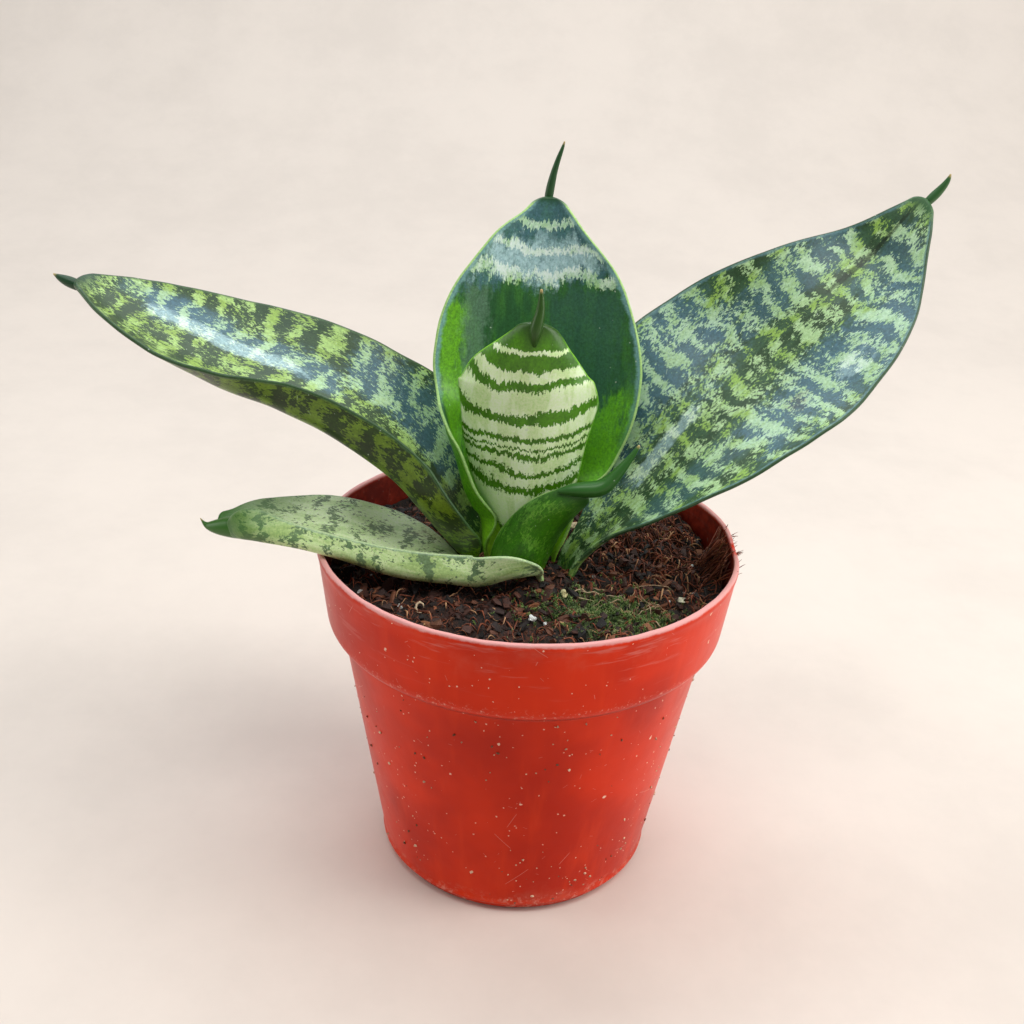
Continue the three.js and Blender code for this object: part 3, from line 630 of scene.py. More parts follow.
def leaf_material(name, settings):
    """Waxy leaf skin: dark ground, jagged pale bands, veins, patches that include painted sky
    reflection, highlights and crease shadow, rim, flecks and spine.
    """
    skin = SKINS[name]
    material, g, surface = new_material(name + "_skin")
    blade = g.attribute("blade")["Vector"]
    margin, tip, dry = g.split(g.attribute("reach")["Vector"])
    across, along, face = g.split(blade)
    point = g.point()
    length = blade_length(name)
    seed = skin.inner.seed

    inner, marked, inner_pale = marked_skin(g, blade, skin.inner, length)
    outer, _, outer_pale = marked_skin(g, blade, skin.outer, length)
    outside = g.step(face, 0.2, -0.2)
    colour = g.blend(outside, inner, outer)
    veins = g.group("Leaf veins", Blade=blade, Spacing=0.5, Seed=seed)
    colour = g.blend(veins["Stripe"] * skin.fibre * 0.35, colour, "#5c6a3c", "OVERLAY")

    # Patches, broken up by a noise; some are painted sky reflection and painted highlights, and one is
    # painted shadow in leaf_right's midrib crease.
    patch_breakup = g.noise(g.place(across, along / 1.8, seed), detail=5, roughness=0.75)
    patch_breakup = g.step(patch_breakup, 0.3, 0.7) * 0.45 + 0.55
    for patch in skin.patches:
        there = g.group("Leaf patch", Blade=blade, Start=patch.start, End=patch.end,
                        Centre=patch.centre, Width=patch.width, Seed=seed + patch.centre)["Mask"]
        share = there * patch_breakup * patch.strength
        ground, blotch = patch.tones
        colour = g.blend(share, colour, g.blend(marked, ground, blotch))

    rooted = g.step(veins["Height"] * 18.0 + along, skin.rooted + 9.0, skin.rooted * 0.35)
    colour = g.blend(rooted * 0.8, colour, skin.root)
    wander = g.noise(g.place(along, face, seed), 0.35, detail=4, roughness=0.65)
    reach = (wander - 0.5) * skin.rim * 1.6 + margin
    upper = g.step(along, skin.rooted, skin.rooted + 25.0) * g.step(tip, 0.0, skin.fade)
    border = g.step(reach, skin.rim * 1.15, skin.rim * 0.5) * 0.8
    colour = g.blend(border * upper, colour, skin.margin)
    thin = g.step(tip, 0.0, skin.fade) * g.step(along, 0.0, 30.0)
    thin = g.step(margin, 0.55, 0.3) * thin
    colour = g.blend(thin, colour, skin.edge)
    grit = g.step(g.noise(point, 1.5, detail=5, roughness=0.75), 0.25, 0.75)
    colour = g.blend(0.35, colour, grit, "OVERLAY")
    colour = g.blend(g.step(tip, skin.fade, 0.3), colour, skin.tip)
    colour = g.blend(dry, colour, "#b7a06a")

    flecks = g.group("Specks", Vector=point, Size=1.7, Share=0.2, Radius=0.11)
    colour = g.blend(flecks["Mask"] * 0.6, colour, "#cfe0c8")
    rubbed = g.group("Scratches", Vector=point, Size=4.5, Width=0.07, Share=0.22)
    colour = g.blend(rubbed["Mask"] * 0.45, colour, "#c3d6ba")

    dull = g.noise(point, 0.35, detail=5, roughness=0.65)
    pale = (outer_pale - inner_pale) * outside + inner_pale
    pale = pale * g.step(tip, -0.5, -0.1)
    height = veins["Height"] * 0.8 + g.noise(point, 2.8) * 0.12
    dress(g, surface, colour, dull * 0.3 + settings.gloss_floor, pale * 0.25 + height, 0.45, 0.0002)
    surface["Specular IOR Level"].default_value = 0.42
    surface["Subsurface Weight"].default_value = 0.06
    surface["Subsurface Radius"].default_value = (0.3, 0.6, 0.1)
    surface["Subsurface Scale"].default_value = 0.002
    return material


# ---------------------------------------------------------------- leaf form
def smooth_run(rows):
    """A smooth run through rows of numbers, read at a fraction of its length."""
    last = len(rows) - 1

    def read(fraction):
        place = fraction * last
        start = min(int(place), last - 1)
        t = place - start
        before, here, after, beyond = (rows[min(max(start + k, 0), last)] for k in (-1, 0, 1, 2))
        values = []
        for p, q, r, s in zip(before, here, after, beyond):
            leave = (r - p) / 2
            arrive = (s - q) / 2
            values.append((((2 * q - 2 * r + leave + arrive) * t - 3 * q + 3 * r - 2 * leave - arrive)
                           * t + leave) * t + q)
        return values

    return read


def leaf_rows(leaf):
    """The stations as rows of plain numbers, and the row beyond them."""
    rows = [[*s.at, *s.wide, s.cup, *s.curl, s.turn] for s in leaf.stations]
    *place, radius = leaf.beyond
    return [*rows, [*place, radius, radius, 0, 0, 0, leaf.stations[-1].turn]]


def blade_fraction(name, share):
    """The fraction of the run at a share of the blade, whose rows stand closer at its apex."""
    stations = len(LEAVES[name].stations)
    return (stations - 1) / stations * share * (1.7 - 0.7 * share)


def midrib_lengths(name, rows):
    """Length of the midrib from the root to each row."""
    run = smooth_run(leaf_rows(LEAVES[name]))
    lengths = [0.0]
    for row in range(rows):
        a, b = (Vector(run(blade_fraction(name, k / rows))[:3]) for k in (row, row + 1))
        lengths.append(lengths[-1] + (b - a).length)
    return lengths


def blade_length(name):
    return midrib_lengths(name, 40)[-1]


# Places of the last columns before a margin, in edge radii, which round the margin off.
EDGE_STEPS = (1.0, 0.62, 0.3, 0.1, 0.0)
APEX_ROUND = 2.2


def round_off(share):
    """Height of a quarter circle at a share of the way in from its end."""
    return math.sqrt(max(0.0, 1 - (1 - min(share, 1)) ** 2))


def column_shares(width, edge, columns):
    """Places of the columns from midrib (0) to margin (1), closer together at the margin."""
    radius = min(edge / 2, width * 0.35)
    main = columns - len(EDGE_STEPS) + 1
    shares = [k / main * (1 - radius / width) for k in range(main)]
    shares += [1 - radius * step / width for step in EDGE_STEPS]
    return shares, radius


def half_section(width, widest, cup, curl, fold, shares):
    """(out, up, lean, share) of each column from the midrib to one margin."""

    def lean_at(share):
        folded = smooth((share - fold[0]) / (fold[1] - fold[0]))
        return math.radians(cup) * width / widest * share + math.radians(curl) * folded

    out = up = last = 0.0
    spots = []
    for share in shares:
        lean = lean_at((share + last) / 2)
        out += (share - last) * width * math.cos(lean)
        up += (share - last) * width * math.sin(lean)
        spots.append((out, up, lean_at(share), share))
        last = share
    return spots


# Least half-width of a leaf, and how far the blade sways and its margins flutter, in millimetres.
LEAST_WIDTH = 0.3
SWAY = 0.3
FLUTTER = 0.5
# How far to either side along the run the midrib's direction is taken.
LOOK_AHEAD = 0.01


def leaf_sections(name, settings):
    """The rows of the blade; each maps a column to its place, normal, thickness and reaches."""
    leaf = LEAVES[name]
    run = smooth_run(leaf_rows(leaf))
    heading = math.radians(leaf.heading)
    across = Vector((math.sin(heading), -math.cos(heading), 0))
    mid_thick = settings.blade_mid / MM
    edge_thick = settings.blade_edge / MM
    lengths = midrib_lengths(name, settings.rows)
    seed = SKINS[name].inner.seed

    def section(row):
        fraction = blade_fraction(name, row / settings.rows)
        x, y, z, left, right, cup, curl_left, curl_right, turn = run(fraction)
        tip = lengths[-1] - lengths[row]
        closing = round_off(tip / APEX_ROUND)
        left, right = (max(width, LEAST_WIDTH) * closing + 0.001 for width in (left, right))
        ahead = Vector(run(min(fraction + LOOK_AHEAD, 1))[:3])
        behind = Vector(run(max(fraction - LOOK_AHEAD, 0))[:3])
        forward = (ahead - behind).normalized()
        sideways = (across - forward * across.dot(forward)).normalized()
        sideways.rotate(Matrix.Rotation(math.radians(-turn), 3, forward))
        inward = sideways.cross(forward)
        spots = {}
        for side, width, curl in ((-1, left, curl_left), (1, right, curl_right)):
            shares, edge = column_shares(width, edge_thick, settings.columns // 2)
            halves = half_section(width, max(left, right), cup, curl, leaf.fold, shares)
            for column, (out, up, lean, share) in enumerate(halves):
                from_margin = (1 - share) * width
                thick = lerp(edge_thick, mid_thick, 1 - share * share) * round_off(from_margin / edge)
                s = side * share * width
                normal = inward * math.cos(lean) - sideways * (side * math.sin(lean))
                spot = Vector((x, y, z)) + sideways * (side * out) + inward * up
                sway = SWAY * noise.noise(Vector((s / 17, lengths[row] / 15, seed)))
                flutter = noise.noise(Vector((side * 5, lengths[row] / 9, seed + 3)))
                sway += FLUTTER * flutter * share ** 5
                spot += normal * min(1.0, width / 12) * sway
                spots[side * column] = (spot, normal, thick / 2 * round_off(tip / 0.8), s, from_margin)
        return spots, tip, lengths[row]

    return [section(row) for row in range(settings.rows + 1)]


def add_blade(bm, name, sections, settings):
    """A flat strip of two faces, shaped into the blade, with its own coordinates on its points."""
    blade = bm.verts.layers.float_vector["blade"]
    reach = bm.verts.layers.float_vector["reach"]
    half = settings.columns // 2
    bmesh.ops.create_grid(bm, x_segments=settings.columns, y_segments=settings.rows, size=0.5)
    for vertex in bm.verts:
        vertex.co.z = 1
    grown = bmesh.ops.extrude_face_region(bm, geom=bm.faces[:], use_keep_orig=True)
    outer = raised_parts(grown["geom"], bmesh.types.BMVert)
    bmesh.ops.translate(bm, verts=outer, vec=(0, 0, -2))
    for vertex in bm.verts:
        face = vertex.co.z
        spots, tip, length = sections[round((vertex.co.y + 0.5) * settings.rows)]
        column = round((vertex.co.x + 0.5) * settings.columns) - half
        spot, normal, thick, s, from_margin = spots[column]
        vertex.co = (spot + normal * thick * face) * MM
        vertex[blade] = (s, length, face)
        vertex[reach] = (from_margin, tip, 0)
    bmesh.ops.remove_doubles(bm, verts=bm.verts, dist=0.00001)
    bmesh.ops.dissolve_degenerate(bm, edges=bm.edges, dist=0.000005)


SPINE_STEPS = 60
# The radius that the ridges round a spine are laid out for, in millimetres.
SPINE_GIRTH = 2.0


def eased_run(rows):
    """A run through rows, averaged over nearly a row either way so that no bend shows."""
    run = smooth_run(rows)
    spread = 0.4 / (len(rows) - 1)

    def read(fraction):
        near = [run(min(max(fraction + k * spread, 0), 1)) for k in (-2, -1, 0, 1, 2)]
        return [sum(values) / len(near) for values in zip(*near)]

    return read


def add_spine(bm, name, length, settings):
    """The leaf's round end spine, bent from a straight rod along its points."""
    blade = bm.verts.layers.float_vector["blade"]
    reach = bm.verts.layers.float_vector["reach"]
    run = eased_run(LEAVES[name].spine)
    path = [Vector(run(k / SPINE_STEPS)[:3]) for k in range(SPINE_STEPS + 1)]
    lengths = [0.0]
    for a, b in zip(path, path[1:]):
        lengths.append(lengths[-1] + (b - a).length)
    blade_points = set(bm.verts)
    bm.from_mesh(template(lambda rod: rod_shape(rod, settings.spine_sides, settings.spine_rings)))
    for vertex in set(bm.verts) - blade_points:
        t = vertex.co.z
        *here, radius = run(t)
        ahead = (Vector(run(min(t + 0.03, 1))[:3]) - Vector(run(max(t - 0.03, 0))[:3])).normalized()
        side = ahead.cross(Vector((0.2, 0.9, 0.1))).normalized()
        radius = max(radius, 0.05) * (0.15 + 0.85 * round_off((1 - t) * 30))
        angle = math.atan2(vertex.co.y, vertex.co.x)
        around = side * vertex.co.x + ahead.cross(side) * vertex.co.y
        step = min(int(t * SPINE_STEPS), SPINE_STEPS - 1)
        risen = lerp(lengths[step], lengths[step + 1], t * SPINE_STEPS - step)
        vertex.co = (Vector(here) + around * radius) * MM
        vertex[blade] = (angle * SPINE_GIRTH, length + risen, -1)
        vertex[reach] = (9, -1, smooth((risen - lengths[-1] + 1.3) / 1.2))


def leaf_mesh(name, settings):
    """One leaf: its blade and its end spine."""
    bm = bmesh.new()
    bm.verts.layers.float_vector.new("blade")
    bm.verts.layers.float_vector.new("reach")
    sections = leaf_sections(name, settings)
    add_blade(bm, name, sections, settings)
    add_spine(bm, name, sections[-1][2], settings)
    bmesh.ops.recalc_face_normals(bm, faces=bm.faces)
    return bm


# ---------------------------------------------------------------- pot form
def rounded(corners, steps=5):
    """An outline through (radius, height, rounding) corners, with each corner rounded off."""
    points = [Vector(corners[0][:2])]
    for k in range(1, len(corners) - 1):
        before, here, after = (Vector(corners[k + j][:2]) for j in (-1, 0, 1))
        reach = corners[k][2]
        start = here + (before - here).normalized() * min(reach, (before - here).length * 0.45)
        end = here + (after - here).normalized() * min(reach, (after - here).length * 0.45)
        for step in range(steps + 1):
            t = step / steps
            points.append(start.lerp(here, t).lerp(here.lerp(end, t), t))
    points.append(Vector(corners[-1][:2]))
    return points


SHOULDER = (53.0, 76.6)
FOOT_WALL = 40.0
INNER_FLOOR = (37.24, 2.0)
FOOT_RADIUS = 37.2
WALL = 1.6


def wall_radius(height):
    return FOOT_WALL + (SHOULDER[0] - FOOT_WALL) * height / SHOULDER[1]


def pot_outline():
    """The pot's wall from the edge of its foot, over the lip, down to the edge of its floor."""
    return rounded([
        (FOOT_RADIUS, 0, 0),
        (38.9, 0.2, 1.2),
        (39.5, 2.2, 0.8),
        (41.1, 3.3, 0.5),
        (wall_radius(5.2), 5.2, 0.8),
        (*SHOULDER, 1.2),
        (55.8, 78.3, 0.8),
        (57.1, 80.2, 1.6),
        (59.5, 99.6, 1.5),
        (60.0, 101.4, 0.7),
        (59.8, 103, 0.6),
        (58.5, 103, 0.5),
        (58.3, 101.8, 0.6),
        (55.4, 80, 1.8),
        (51.4, 76.4, 1.8),
        (wall_radius(4) - WALL, 4, 1.6),
        (*INNER_FLOOR, 0),
    ])


DENT_SPOT = Vector((59, 0, 103))


def worn_lip(spot):
    """Bends the rim as a handled pot's is: a dent at the right and a slight wave round it."""
    angle = math.atan2(spot.y, spot.x)
    rise = smooth((spot.z - 86) / 17)
    wave = noise.noise(Vector((math.cos(angle) * 1.7, math.sin(angle) * 1.7, 4)))
    dent = math.exp(-((spot - DENT_SPOT).length / 9) ** 2)
    nick = noise.noise(Vector((math.cos(angle) * 14, math.sin(angle) * 14, spot.z / 30)))
    shrink = 1 + rise * (0.004 * wave - 0.014 * dent)
    lip = smooth((spot.z - 101) / 2)
    return Vector((spot.x * shrink, spot.y * shrink, spot.z + lip * (0.18 * nick - 0.9 * dent)))


# How far a point of the turned wall may lie from its circle, in millimetres.
TURNING_SLACK = 0.01


def ring_edges(bm, radius, height):
    """The edges of the turned wall that lie on one circle."""
    found = []
    for edge in bm.edges:
        if all(abs(v.co.z - height) < TURNING_SLACK and abs(v.co.xy.length - radius) < TURNING_SLACK
               for v in edge.verts):
            found.append(edge)
    return found


# The drain holes: how many, the radius of the circle they stand on, their own radius and sides.
HOLES = 8
HOLE_RING = 29
HOLE_RADIUS = 3.5
HOLE_SIDES = 28


def pot_mesh(settings):
    """The wall is turned from its outline; the floor is filled round the drain holes."""
    bm = bmesh.new()
    inner = bm.verts.layers.float.new("inner")
    outline = pot_outline()
    profile = polyline(bm, [(point.x, 0, point.y) for point in outline])
    lip = max(range(len(outline)), key=lambda k: (outline[k].y, -outline[k].x))
    for spot in profile[lip + 1:len(outline)]:
        spot[inner] = 1.0
    turn_round(bm, profile, settings.turns)
    under = ring_edges(bm, FOOT_RADIUS, 0)
    above = ring_edges(bm, *INNER_FLOOR)
    for hole in range(HOLES):
        angle = (hole + 0.5) * 2 * math.pi / HOLES
        middle = HOLE_RING * Vector((math.cos(angle), math.sin(angle), 0))
        low = bmesh.ops.create_circle(bm, segments=HOLE_SIDES, radius=HOLE_RADIUS,
                                      matrix=Matrix.Translation(middle))["verts"]
        ring = list({edge for vertex in low for edge in vertex.link_edges})
        raised = bmesh.ops.extrude_edge_only(bm, edges=ring)["geom"]
        high = raised_parts(raised, bmesh.types.BMVert)
        bmesh.ops.translate(bm, verts=high, vec=(0, 0, INNER_FLOOR[1]))
        under += ring
        above += [edge for edge in raised_parts(raised, bmesh.types.BMEdge)
                  if all(v in high for v in edge.verts)]
    for edges in (under, above):
        bmesh.ops.triangle_fill(bm, use_beauty=True, use_dissolve=False, edges=edges)
    for vertex in bm.verts:
        vertex.co = worn_lip(vertex.co)
    return to_metres(bm)


def pot_material(settings):
    """Sun-worn red plastic with rubbed lip, dust, scratches and flecks of dried mix, with painted shadow
    under the collar and painted shade darkening the inside.
    """
    material, g, surface = new_material("pot_plastic")
    point = g.point()
    x, y, z = g.split(point)
    cloud = g.noise(point, 0.03, detail=3)
    red = g.blend(g.step(cloud, 0.35, 0.65), tuple(settings.plastic) + (1,), "#b82000")
    streaks = g.noise(g.place(x, y, z * 0.06), 0.16, detail=3, roughness=0.6)
    red = g.blend(g.step(streaks, 0.5, 0.75) * 0.3, red, "#e64010")

    collar = g.step(z, 80.0, 101.0)
    foot = g.step(z, 14.0, 1.0)
    heavy = g.math("MAXIMUM", collar * 0.34, foot * 0.6)
    amount = heavy + settings.dust
    dust = g.group("Dust", Vector=point, Size=15.0, Amount=amount)["Mask"]
    colour = g.blend(dust * 0.2, red, "#d9806c")
    # Painted shadow: a dark band on the step just under the collar.
    collar_shadow = g.step(z, 75.6, 76.6) * g.step(z, 79.6, 78.0)
    colour = g.blend(collar_shadow * 0.55, colour, "#6d120c")
    bits = g.step(g.noise(point, 0.9, detail=5, roughness=0.75), 0.55, 0.66)
    ledge = g.step(z, 78.6, 79.8) * g.step(z, 83.0, 80.4)
    colour = g.blend(bits * ledge * 0.6, colour, "#e8b09c")
    rings = g.noise(g.place(x, y, z * 9.0), 0.05, detail=3, roughness=0.7)
    scuffed = g.step(rings, 0.56, 0.68) * collar * 0.35
    colour = g.blend(scuffed, colour, "#d98a80")

    lines = g.group("Scratches", Vector=point, Size=17.0, Width=0.11, Share=0.6)
    hairs = g.group("Scratches", Vector=point, Size=4.0, Width=0.08, Share=0.4)
    marks = g.math("MAXIMUM", lines["Mask"], hairs["Mask"] * 0.8)
    colour = g.blend(marks * 0.55, colour, "#e0a596")
    crowd = g.step(g.noise(point, 0.045, detail=2), 0.42, 0.62) * 0.45 + 0.06
    small = g.group("Specks", Vector=point, Size=1.9, Share=crowd, Radius=0.13)
    big = g.group("Specks", Vector=point, Size=6.0, Share=0.24, Radius=0.09)
    flecks = g.math("MAXIMUM", small["Mask"], big["Mask"])
    colour = g.blend(flecks * 0.85, colour, "#f0cdb4")
    lime = g.noise(point, 0.4, detail=5, roughness=0.7)
    crust = g.step(lime, 0.5, 0.68) * g.step(z, 9.0, 1.5)
    colour = g.blend(crust * 0.6, colour, "#e6b09c")

    ragged = g.noise(point, 0.22, detail=5, roughness=0.7)
    lip = g.step(ragged * 1.6 + z, 102.7, 103.5)
    colour = g.blend(lip * 0.85, colour, "#e3aca8")
    # Painted shade: the inside of the wall above the mix is darkened.
    inside = g.attribute("inner")["Fac"] * g.step(z, 102.9, 101.6)
    inside_shade = g.blend(g.step(ragged, 0.4, 0.65), "#4a1712", "#7a2a1e")
    colour = g.blend(inside * 0.9, colour, inside_shade)

    rough = dust * 0.22 + settings.gloss_floor
    rough = lip * 0.25 + rough
    rough = flecks * 0.3 + rough
    rough = g.noise(point, 0.3, detail=4) * 0.12 + rough
    ripple = g.noise(point, 0.12, detail=2)
    height = marks * -0.25 + ripple * 0.9
    height = flecks * 0.7 + height
    height = g.noise(point, 1.6, detail=3) * 0.08 + height
    dress(g, surface, colour, rough, height, 0.35, 0.0004)
    surface["Specular IOR Level"].default_value = 0.14
    return material


# ---------------------------------------------------------------- potting mix
SOIL_TOP = 92.5
SOIL_REACH = 56.1
# Swells and hollows of the top: x, y, rise and reach.
SOIL_SWELLS = [(34, 34, 6, 20), (12, -30, 2, 17), (45, -20, -3, 12.5), (3, -12, 2, 9)]
# Waves that make the clods: rise, turns in x and in y (radians for a millimetre), and start.
SOIL_WAVES = [(0.5, 0.41, 0.37, 1), (0.5, 0.41, -0.37, 2), (0.6, 0.83, -0.55, 0), (0.5, 0.31, 0.97, 2)]


def soil_height(x, y):
    """Top of the mix: its swells and hollows, and the clods."""
    height = SOIL_TOP
    for swell_x, swell_y, rise, reach in SOIL_SWELLS:
        height += rise * math.exp(-math.hypot(x - swell_x, y - swell_y) ** 2 / reach ** 2)
    for rise, turn_x, turn_y, start in SOIL_WAVES:
        height += rise * math.sin(turn_x * x + turn_y * y + start)
    return height


def soil_surface(x, y):
    """The same top with its lumps and crumbs."""
    lumps = noise.fractal(Vector((x / 4.5, y / 4.5, 1.7)), 0.9, 2.1, 4)
    return soil_height(x, y) + 0.75 * lumps


def soil_mesh(settings):
    """A turned plug that fills the pot, its top raised into lumps."""
    bm = bmesh.new()
    wall = [(0, 2.3), (35.2, 2.3), (38.5, 4.3), (51.1, 76.6), (54.9, 80.4)]
    rings = settings.soil_rings
    top = [(SOIL_REACH * (rings - k) / rings, SOIL_TOP) for k in range(rings + 1)]
    turn_round(bm, polyline(bm, [(radius, 0, height) for radius, height in wall + top]),
               settings.soil_turns)
    for vertex in bm.verts:
        if vertex.co.z > SOIL_TOP - 1:
            vertex.co.z = soil_surface(vertex.co.x, vertex.co.y)
    return to_metres(bm)


# The moss: the middle of the patch, and how far the green film and the shoots spread in x and in y.
MOSS_SPOT = (25, -27)
FILM_SPREAD = (22.0, 13.0)
SHOOT_SPREAD = (12, 6.5)


def soil_material(settings):
    """Damp peat: near black with brown fibre dust and a green film round the moss."""
    material, g, surface = new_material("potting_mix")
    point = g.point()
    x, y, z = g.split(point)
    broad = g.noise(point, 0.09, detail=4, roughness=0.6)
    fine = g.noise(point, 1.1, detail=6, roughness=0.75)
    peat = g.blend(g.step(fine, 0.4, 0.68), "#0d0907", "#3a241a")
    rusty = g.step(broad, 0.48, 0.66) * g.step(fine, 0.45, 0.6)
    colour = g.blend(rusty * 0.7, peat, "#6a3a22")
    to_moss = (((x - MOSS_SPOT[0]) / FILM_SPREAD[0]) ** 2.0
               + ((y - MOSS_SPOT[1]) / FILM_SPREAD[1]) ** 2.0)
    patch_breakup = g.step(to_moss, 1.5, 0.3) * g.step(broad, 0.3, 0.5)
    colour = g.blend(patch_breakup * 0.7, colour, "#3a4c22")
    height = fine + g.noise(point, 3.5, detail=4) * 0.4
    dress(g, surface, colour, fine * 0.35 + 0.6, height, 0.9, 0.0009)
    return material


def crumb_material(name="crumbs", brown="#472519", pale="#8a5434"):
    """Bits of peat, bark and coir, each with its own shade from near black to pale."""
    material, g, surface = new_material(name)
    point = g.point()
    shade = g.attribute("shade")["Fac"]
    fine = g.noise(point, 1.6, detail=5, roughness=0.7)
    dark = g.blend(g.step(shade, 0.2, 0.8), "#0c0705", brown)
    colour = g.blend(g.step(shade, 0.82, 0.97), dark, pale)
    colour = g.blend(g.step(fine, 0.45, 0.7) * 0.45, colour, "#1a0f0a")
    dress(g, surface, colour, fine * 0.4 + 0.5, fine, 0.6, 0.0004)
    return material


def fibre_material():
    """Coir: rust brown strands, some of them pale."""
    material, g, surface = new_material("coir")
    point = g.point()
    shade = g.attribute("shade")["Fac"]
    grain = g.noise(point, 2.2, detail=3)
    colour = g.blend(shade, "#3c180e", "#b05e3a")
    colour = g.blend(g.step(shade, 0.84, 0.97), colour, "#d6a678")
    colour = g.blend(grain * 0.4, colour, "#2a150d")
    dress(g, surface, colour, grain * 0.3 + 0.55, grain, 0.5, 0.0001)
    return material


def perlite_material():
    """Expanded white grains, pitted and slightly stained."""
    material, g, surface = new_material("perlite")
    point = g.point()
    shade = g.attribute("shade")["Fac"]
    pits = g.cells(point, 2.6)["Distance"]
    stain = g.noise(point, 0.8, detail=4)
    colour = g.blend(g.step(shade, 0.6, 1.0), "#d9dcd8", "#cfc88e")
    colour = g.blend(g.step(stain, 0.5, 0.7) * 0.45, colour, "#8f8a78")
    dress(g, surface, colour, stain * 0.2 + 0.7, pits, 0.8, 0.0003)
    return material


def moss_material():
    """Small moss leaves, dark green with yellow-green young tips."""
    material, g, surface = new_material("moss")
    point = g.point()
    shade = g.attribute("shade")["Fac"]
    colour = g.blend(shade, "#2a4418", "#7c9a48")
    tint = g.noise(point, 0.5, detail=3)
    colour = g.blend(g.step(tint, 0.5, 0.7) * 0.5, colour, "#b0b482")
    dress(g, surface, colour, tint * 0.2 + 0.5, tint, 0.2, 0.0001)
    return material


def straw_material():
    """Dead root, husk and leaf scraps: pale tan with darker grain."""
    material, g, surface = new_material("straw")
    point = g.point()
    shade = g.attribute("shade")["Fac"]
    grain = g.noise(point, 1.8, detail=4, roughness=0.6)
    colour = g.blend(shade, "#8a6440", "#d9c3a0")
    colour = g.blend(g.step(grain, 0.45, 0.7) * 0.55, colour, "#5f3f28")
    dress(g, surface, colour, grain * 0.3 + 0.5, grain, 0.5, 0.0002)
    return material


def crumb_shape(bm, subdivisions=1, seed=0.0, rough=0.35):
    """An irregular grain, 1 across."""
    bmesh.ops.create_icosphere(bm, subdivisions=subdivisions, radius=0.5)
    for vertex in bm.verts:
        vertex.co += rough * noise.noise_vector(vertex.co * 2.2 + Vector((seed, 2 * seed, 0)))


def chip_shape(bm):
    """A flat splinter of bark, 1 long."""
    bmesh.ops.create_cube(bm, size=1.0, matrix=Matrix.Diagonal((1, 0.45, 0.22, 1)))
    bmesh.ops.bevel(bm, geom=bm.edges[:], offset=0.05, segments=1, affect="EDGES", profile=0.5,
                    material=-1)
    for vertex in bm.verts:
        vertex.co += 0.12 * noise.noise_vector(vertex.co * 2.5)


def rod_shape(bm, sides=3, rings=7):
    """A straight closed rod along Z from 0 to 1, to be bent."""
    bmesh.ops.create_circle(bm, cap_ends=True, segments=sides, radius=1.0)
    tip = bm.faces[:]
    for ring in range(rings):
        raised = bmesh.ops.extrude_face_region(bm, geom=tip, use_keep_orig=True)["geom"]
        if ring > 0:
            bmesh.ops.delete(bm, geom=tip, context="FACES_ONLY")
        tip = raised_parts(raised, bmesh.types.BMFace)
        moved = raised_parts(raised, bmesh.types.BMVert)
        bmesh.ops.translate(bm, verts=moved, vec=(0, 0, 1 / rings))
    bmesh.ops.recalc_face_normals(bm, faces=bm.faces)


def bend(path, radius):
    """Maps a straight strand on to path(t), a point in millimetres for t from 0 to 1."""

    def place(spot):
        t = spot.z
        here = path(t)
        ahead = (path(min(t + 0.05, 1)) - path(max(t - 0.05, 0))).normalized()
        side = ahead.cross(Vector((0.13, 0.21, 1))).normalized()
        thin = radius * (1 - 0.7 * abs(2 * t - 1) ** 3)
        return (here + (side * spot.x + ahead.cross(side) * spot.y) * thin) * MM

    return place


def lying_path(rng, x, y, length, lift, curve):
    """A wavy path that lies on the mix, its ends tucked in."""
    heading = rng.uniform(0, 2 * math.pi)
    bow = rng.uniform(-curve, curve)
    tilt = rng.uniform(-0.4, 0.4) * lift
    phase = rng.uniform(0, 9)

    def path(t):
        along = (t - 0.5) * length
        turned = heading + bow * (t - 0.5)
        px = x + along * math.cos(turned)
        py = y + along * math.sin(turned)
        reach = math.hypot(px, py)
        if reach > SOIL_REACH - 0.5:
            px, py = (value * ((SOIL_REACH - 0.5) / reach) for value in (px, py))
        hump = lift * math.sin(math.pi * t) + tilt * (t - 0.5) * 2
        wave = 0.35 * math.sin(phase + 7 * t)
        return Vector((px, py, soil_surface(px, py) + hump + wave * 0.5))

    return path


def scatter(rng, reach):
    """A random place on the mix."""
    radius = reach * math.sqrt(rng.random())
    angle = rng.uniform(0, 2 * math.pi)
    return radius * math.cos(angle), radius * math.sin(angle)


def rotation(angle, axis):
    return Matrix.Rotation(angle, 3, axis)


def turned(rng, x, y, z, size):
    """Puts a stamped shape, sized and turned at random, at a place in millimetres."""
    spin = rotation(rng.uniform(0, 6.3), "Z") @ rotation(rng.uniform(-0.6, 0.6), "X")
    spin = spin @ rotation(rng.uniform(-0.6, 0.6), "Y")
    stretch = Matrix.Diagonal((size * rng.uniform(0.8, 1.3), size * rng.uniform(0.7, 1.1),
                               size * rng.uniform(0.6, 1.0)))
    return lambda spot: (spin @ stretch @ spot + Vector((x, y, z))) * MM


# ---------------------------------------------------------------- settings shown in the panel
class StageSettings(bpy.types.PropertyGroup):
    floor: FloatVectorProperty(name="Floor", description="Colour of the floor and the wall behind",
                               subtype="COLOR", default=(0.72, 0.645, 0.575), min=0, max=1)
    key: FloatProperty(name="Key light", description="Power of the main light", default=6.4,
                       unit="POWER")
    sky: FloatProperty(name="Sky", description="Strength of the light all round", default=0.26)


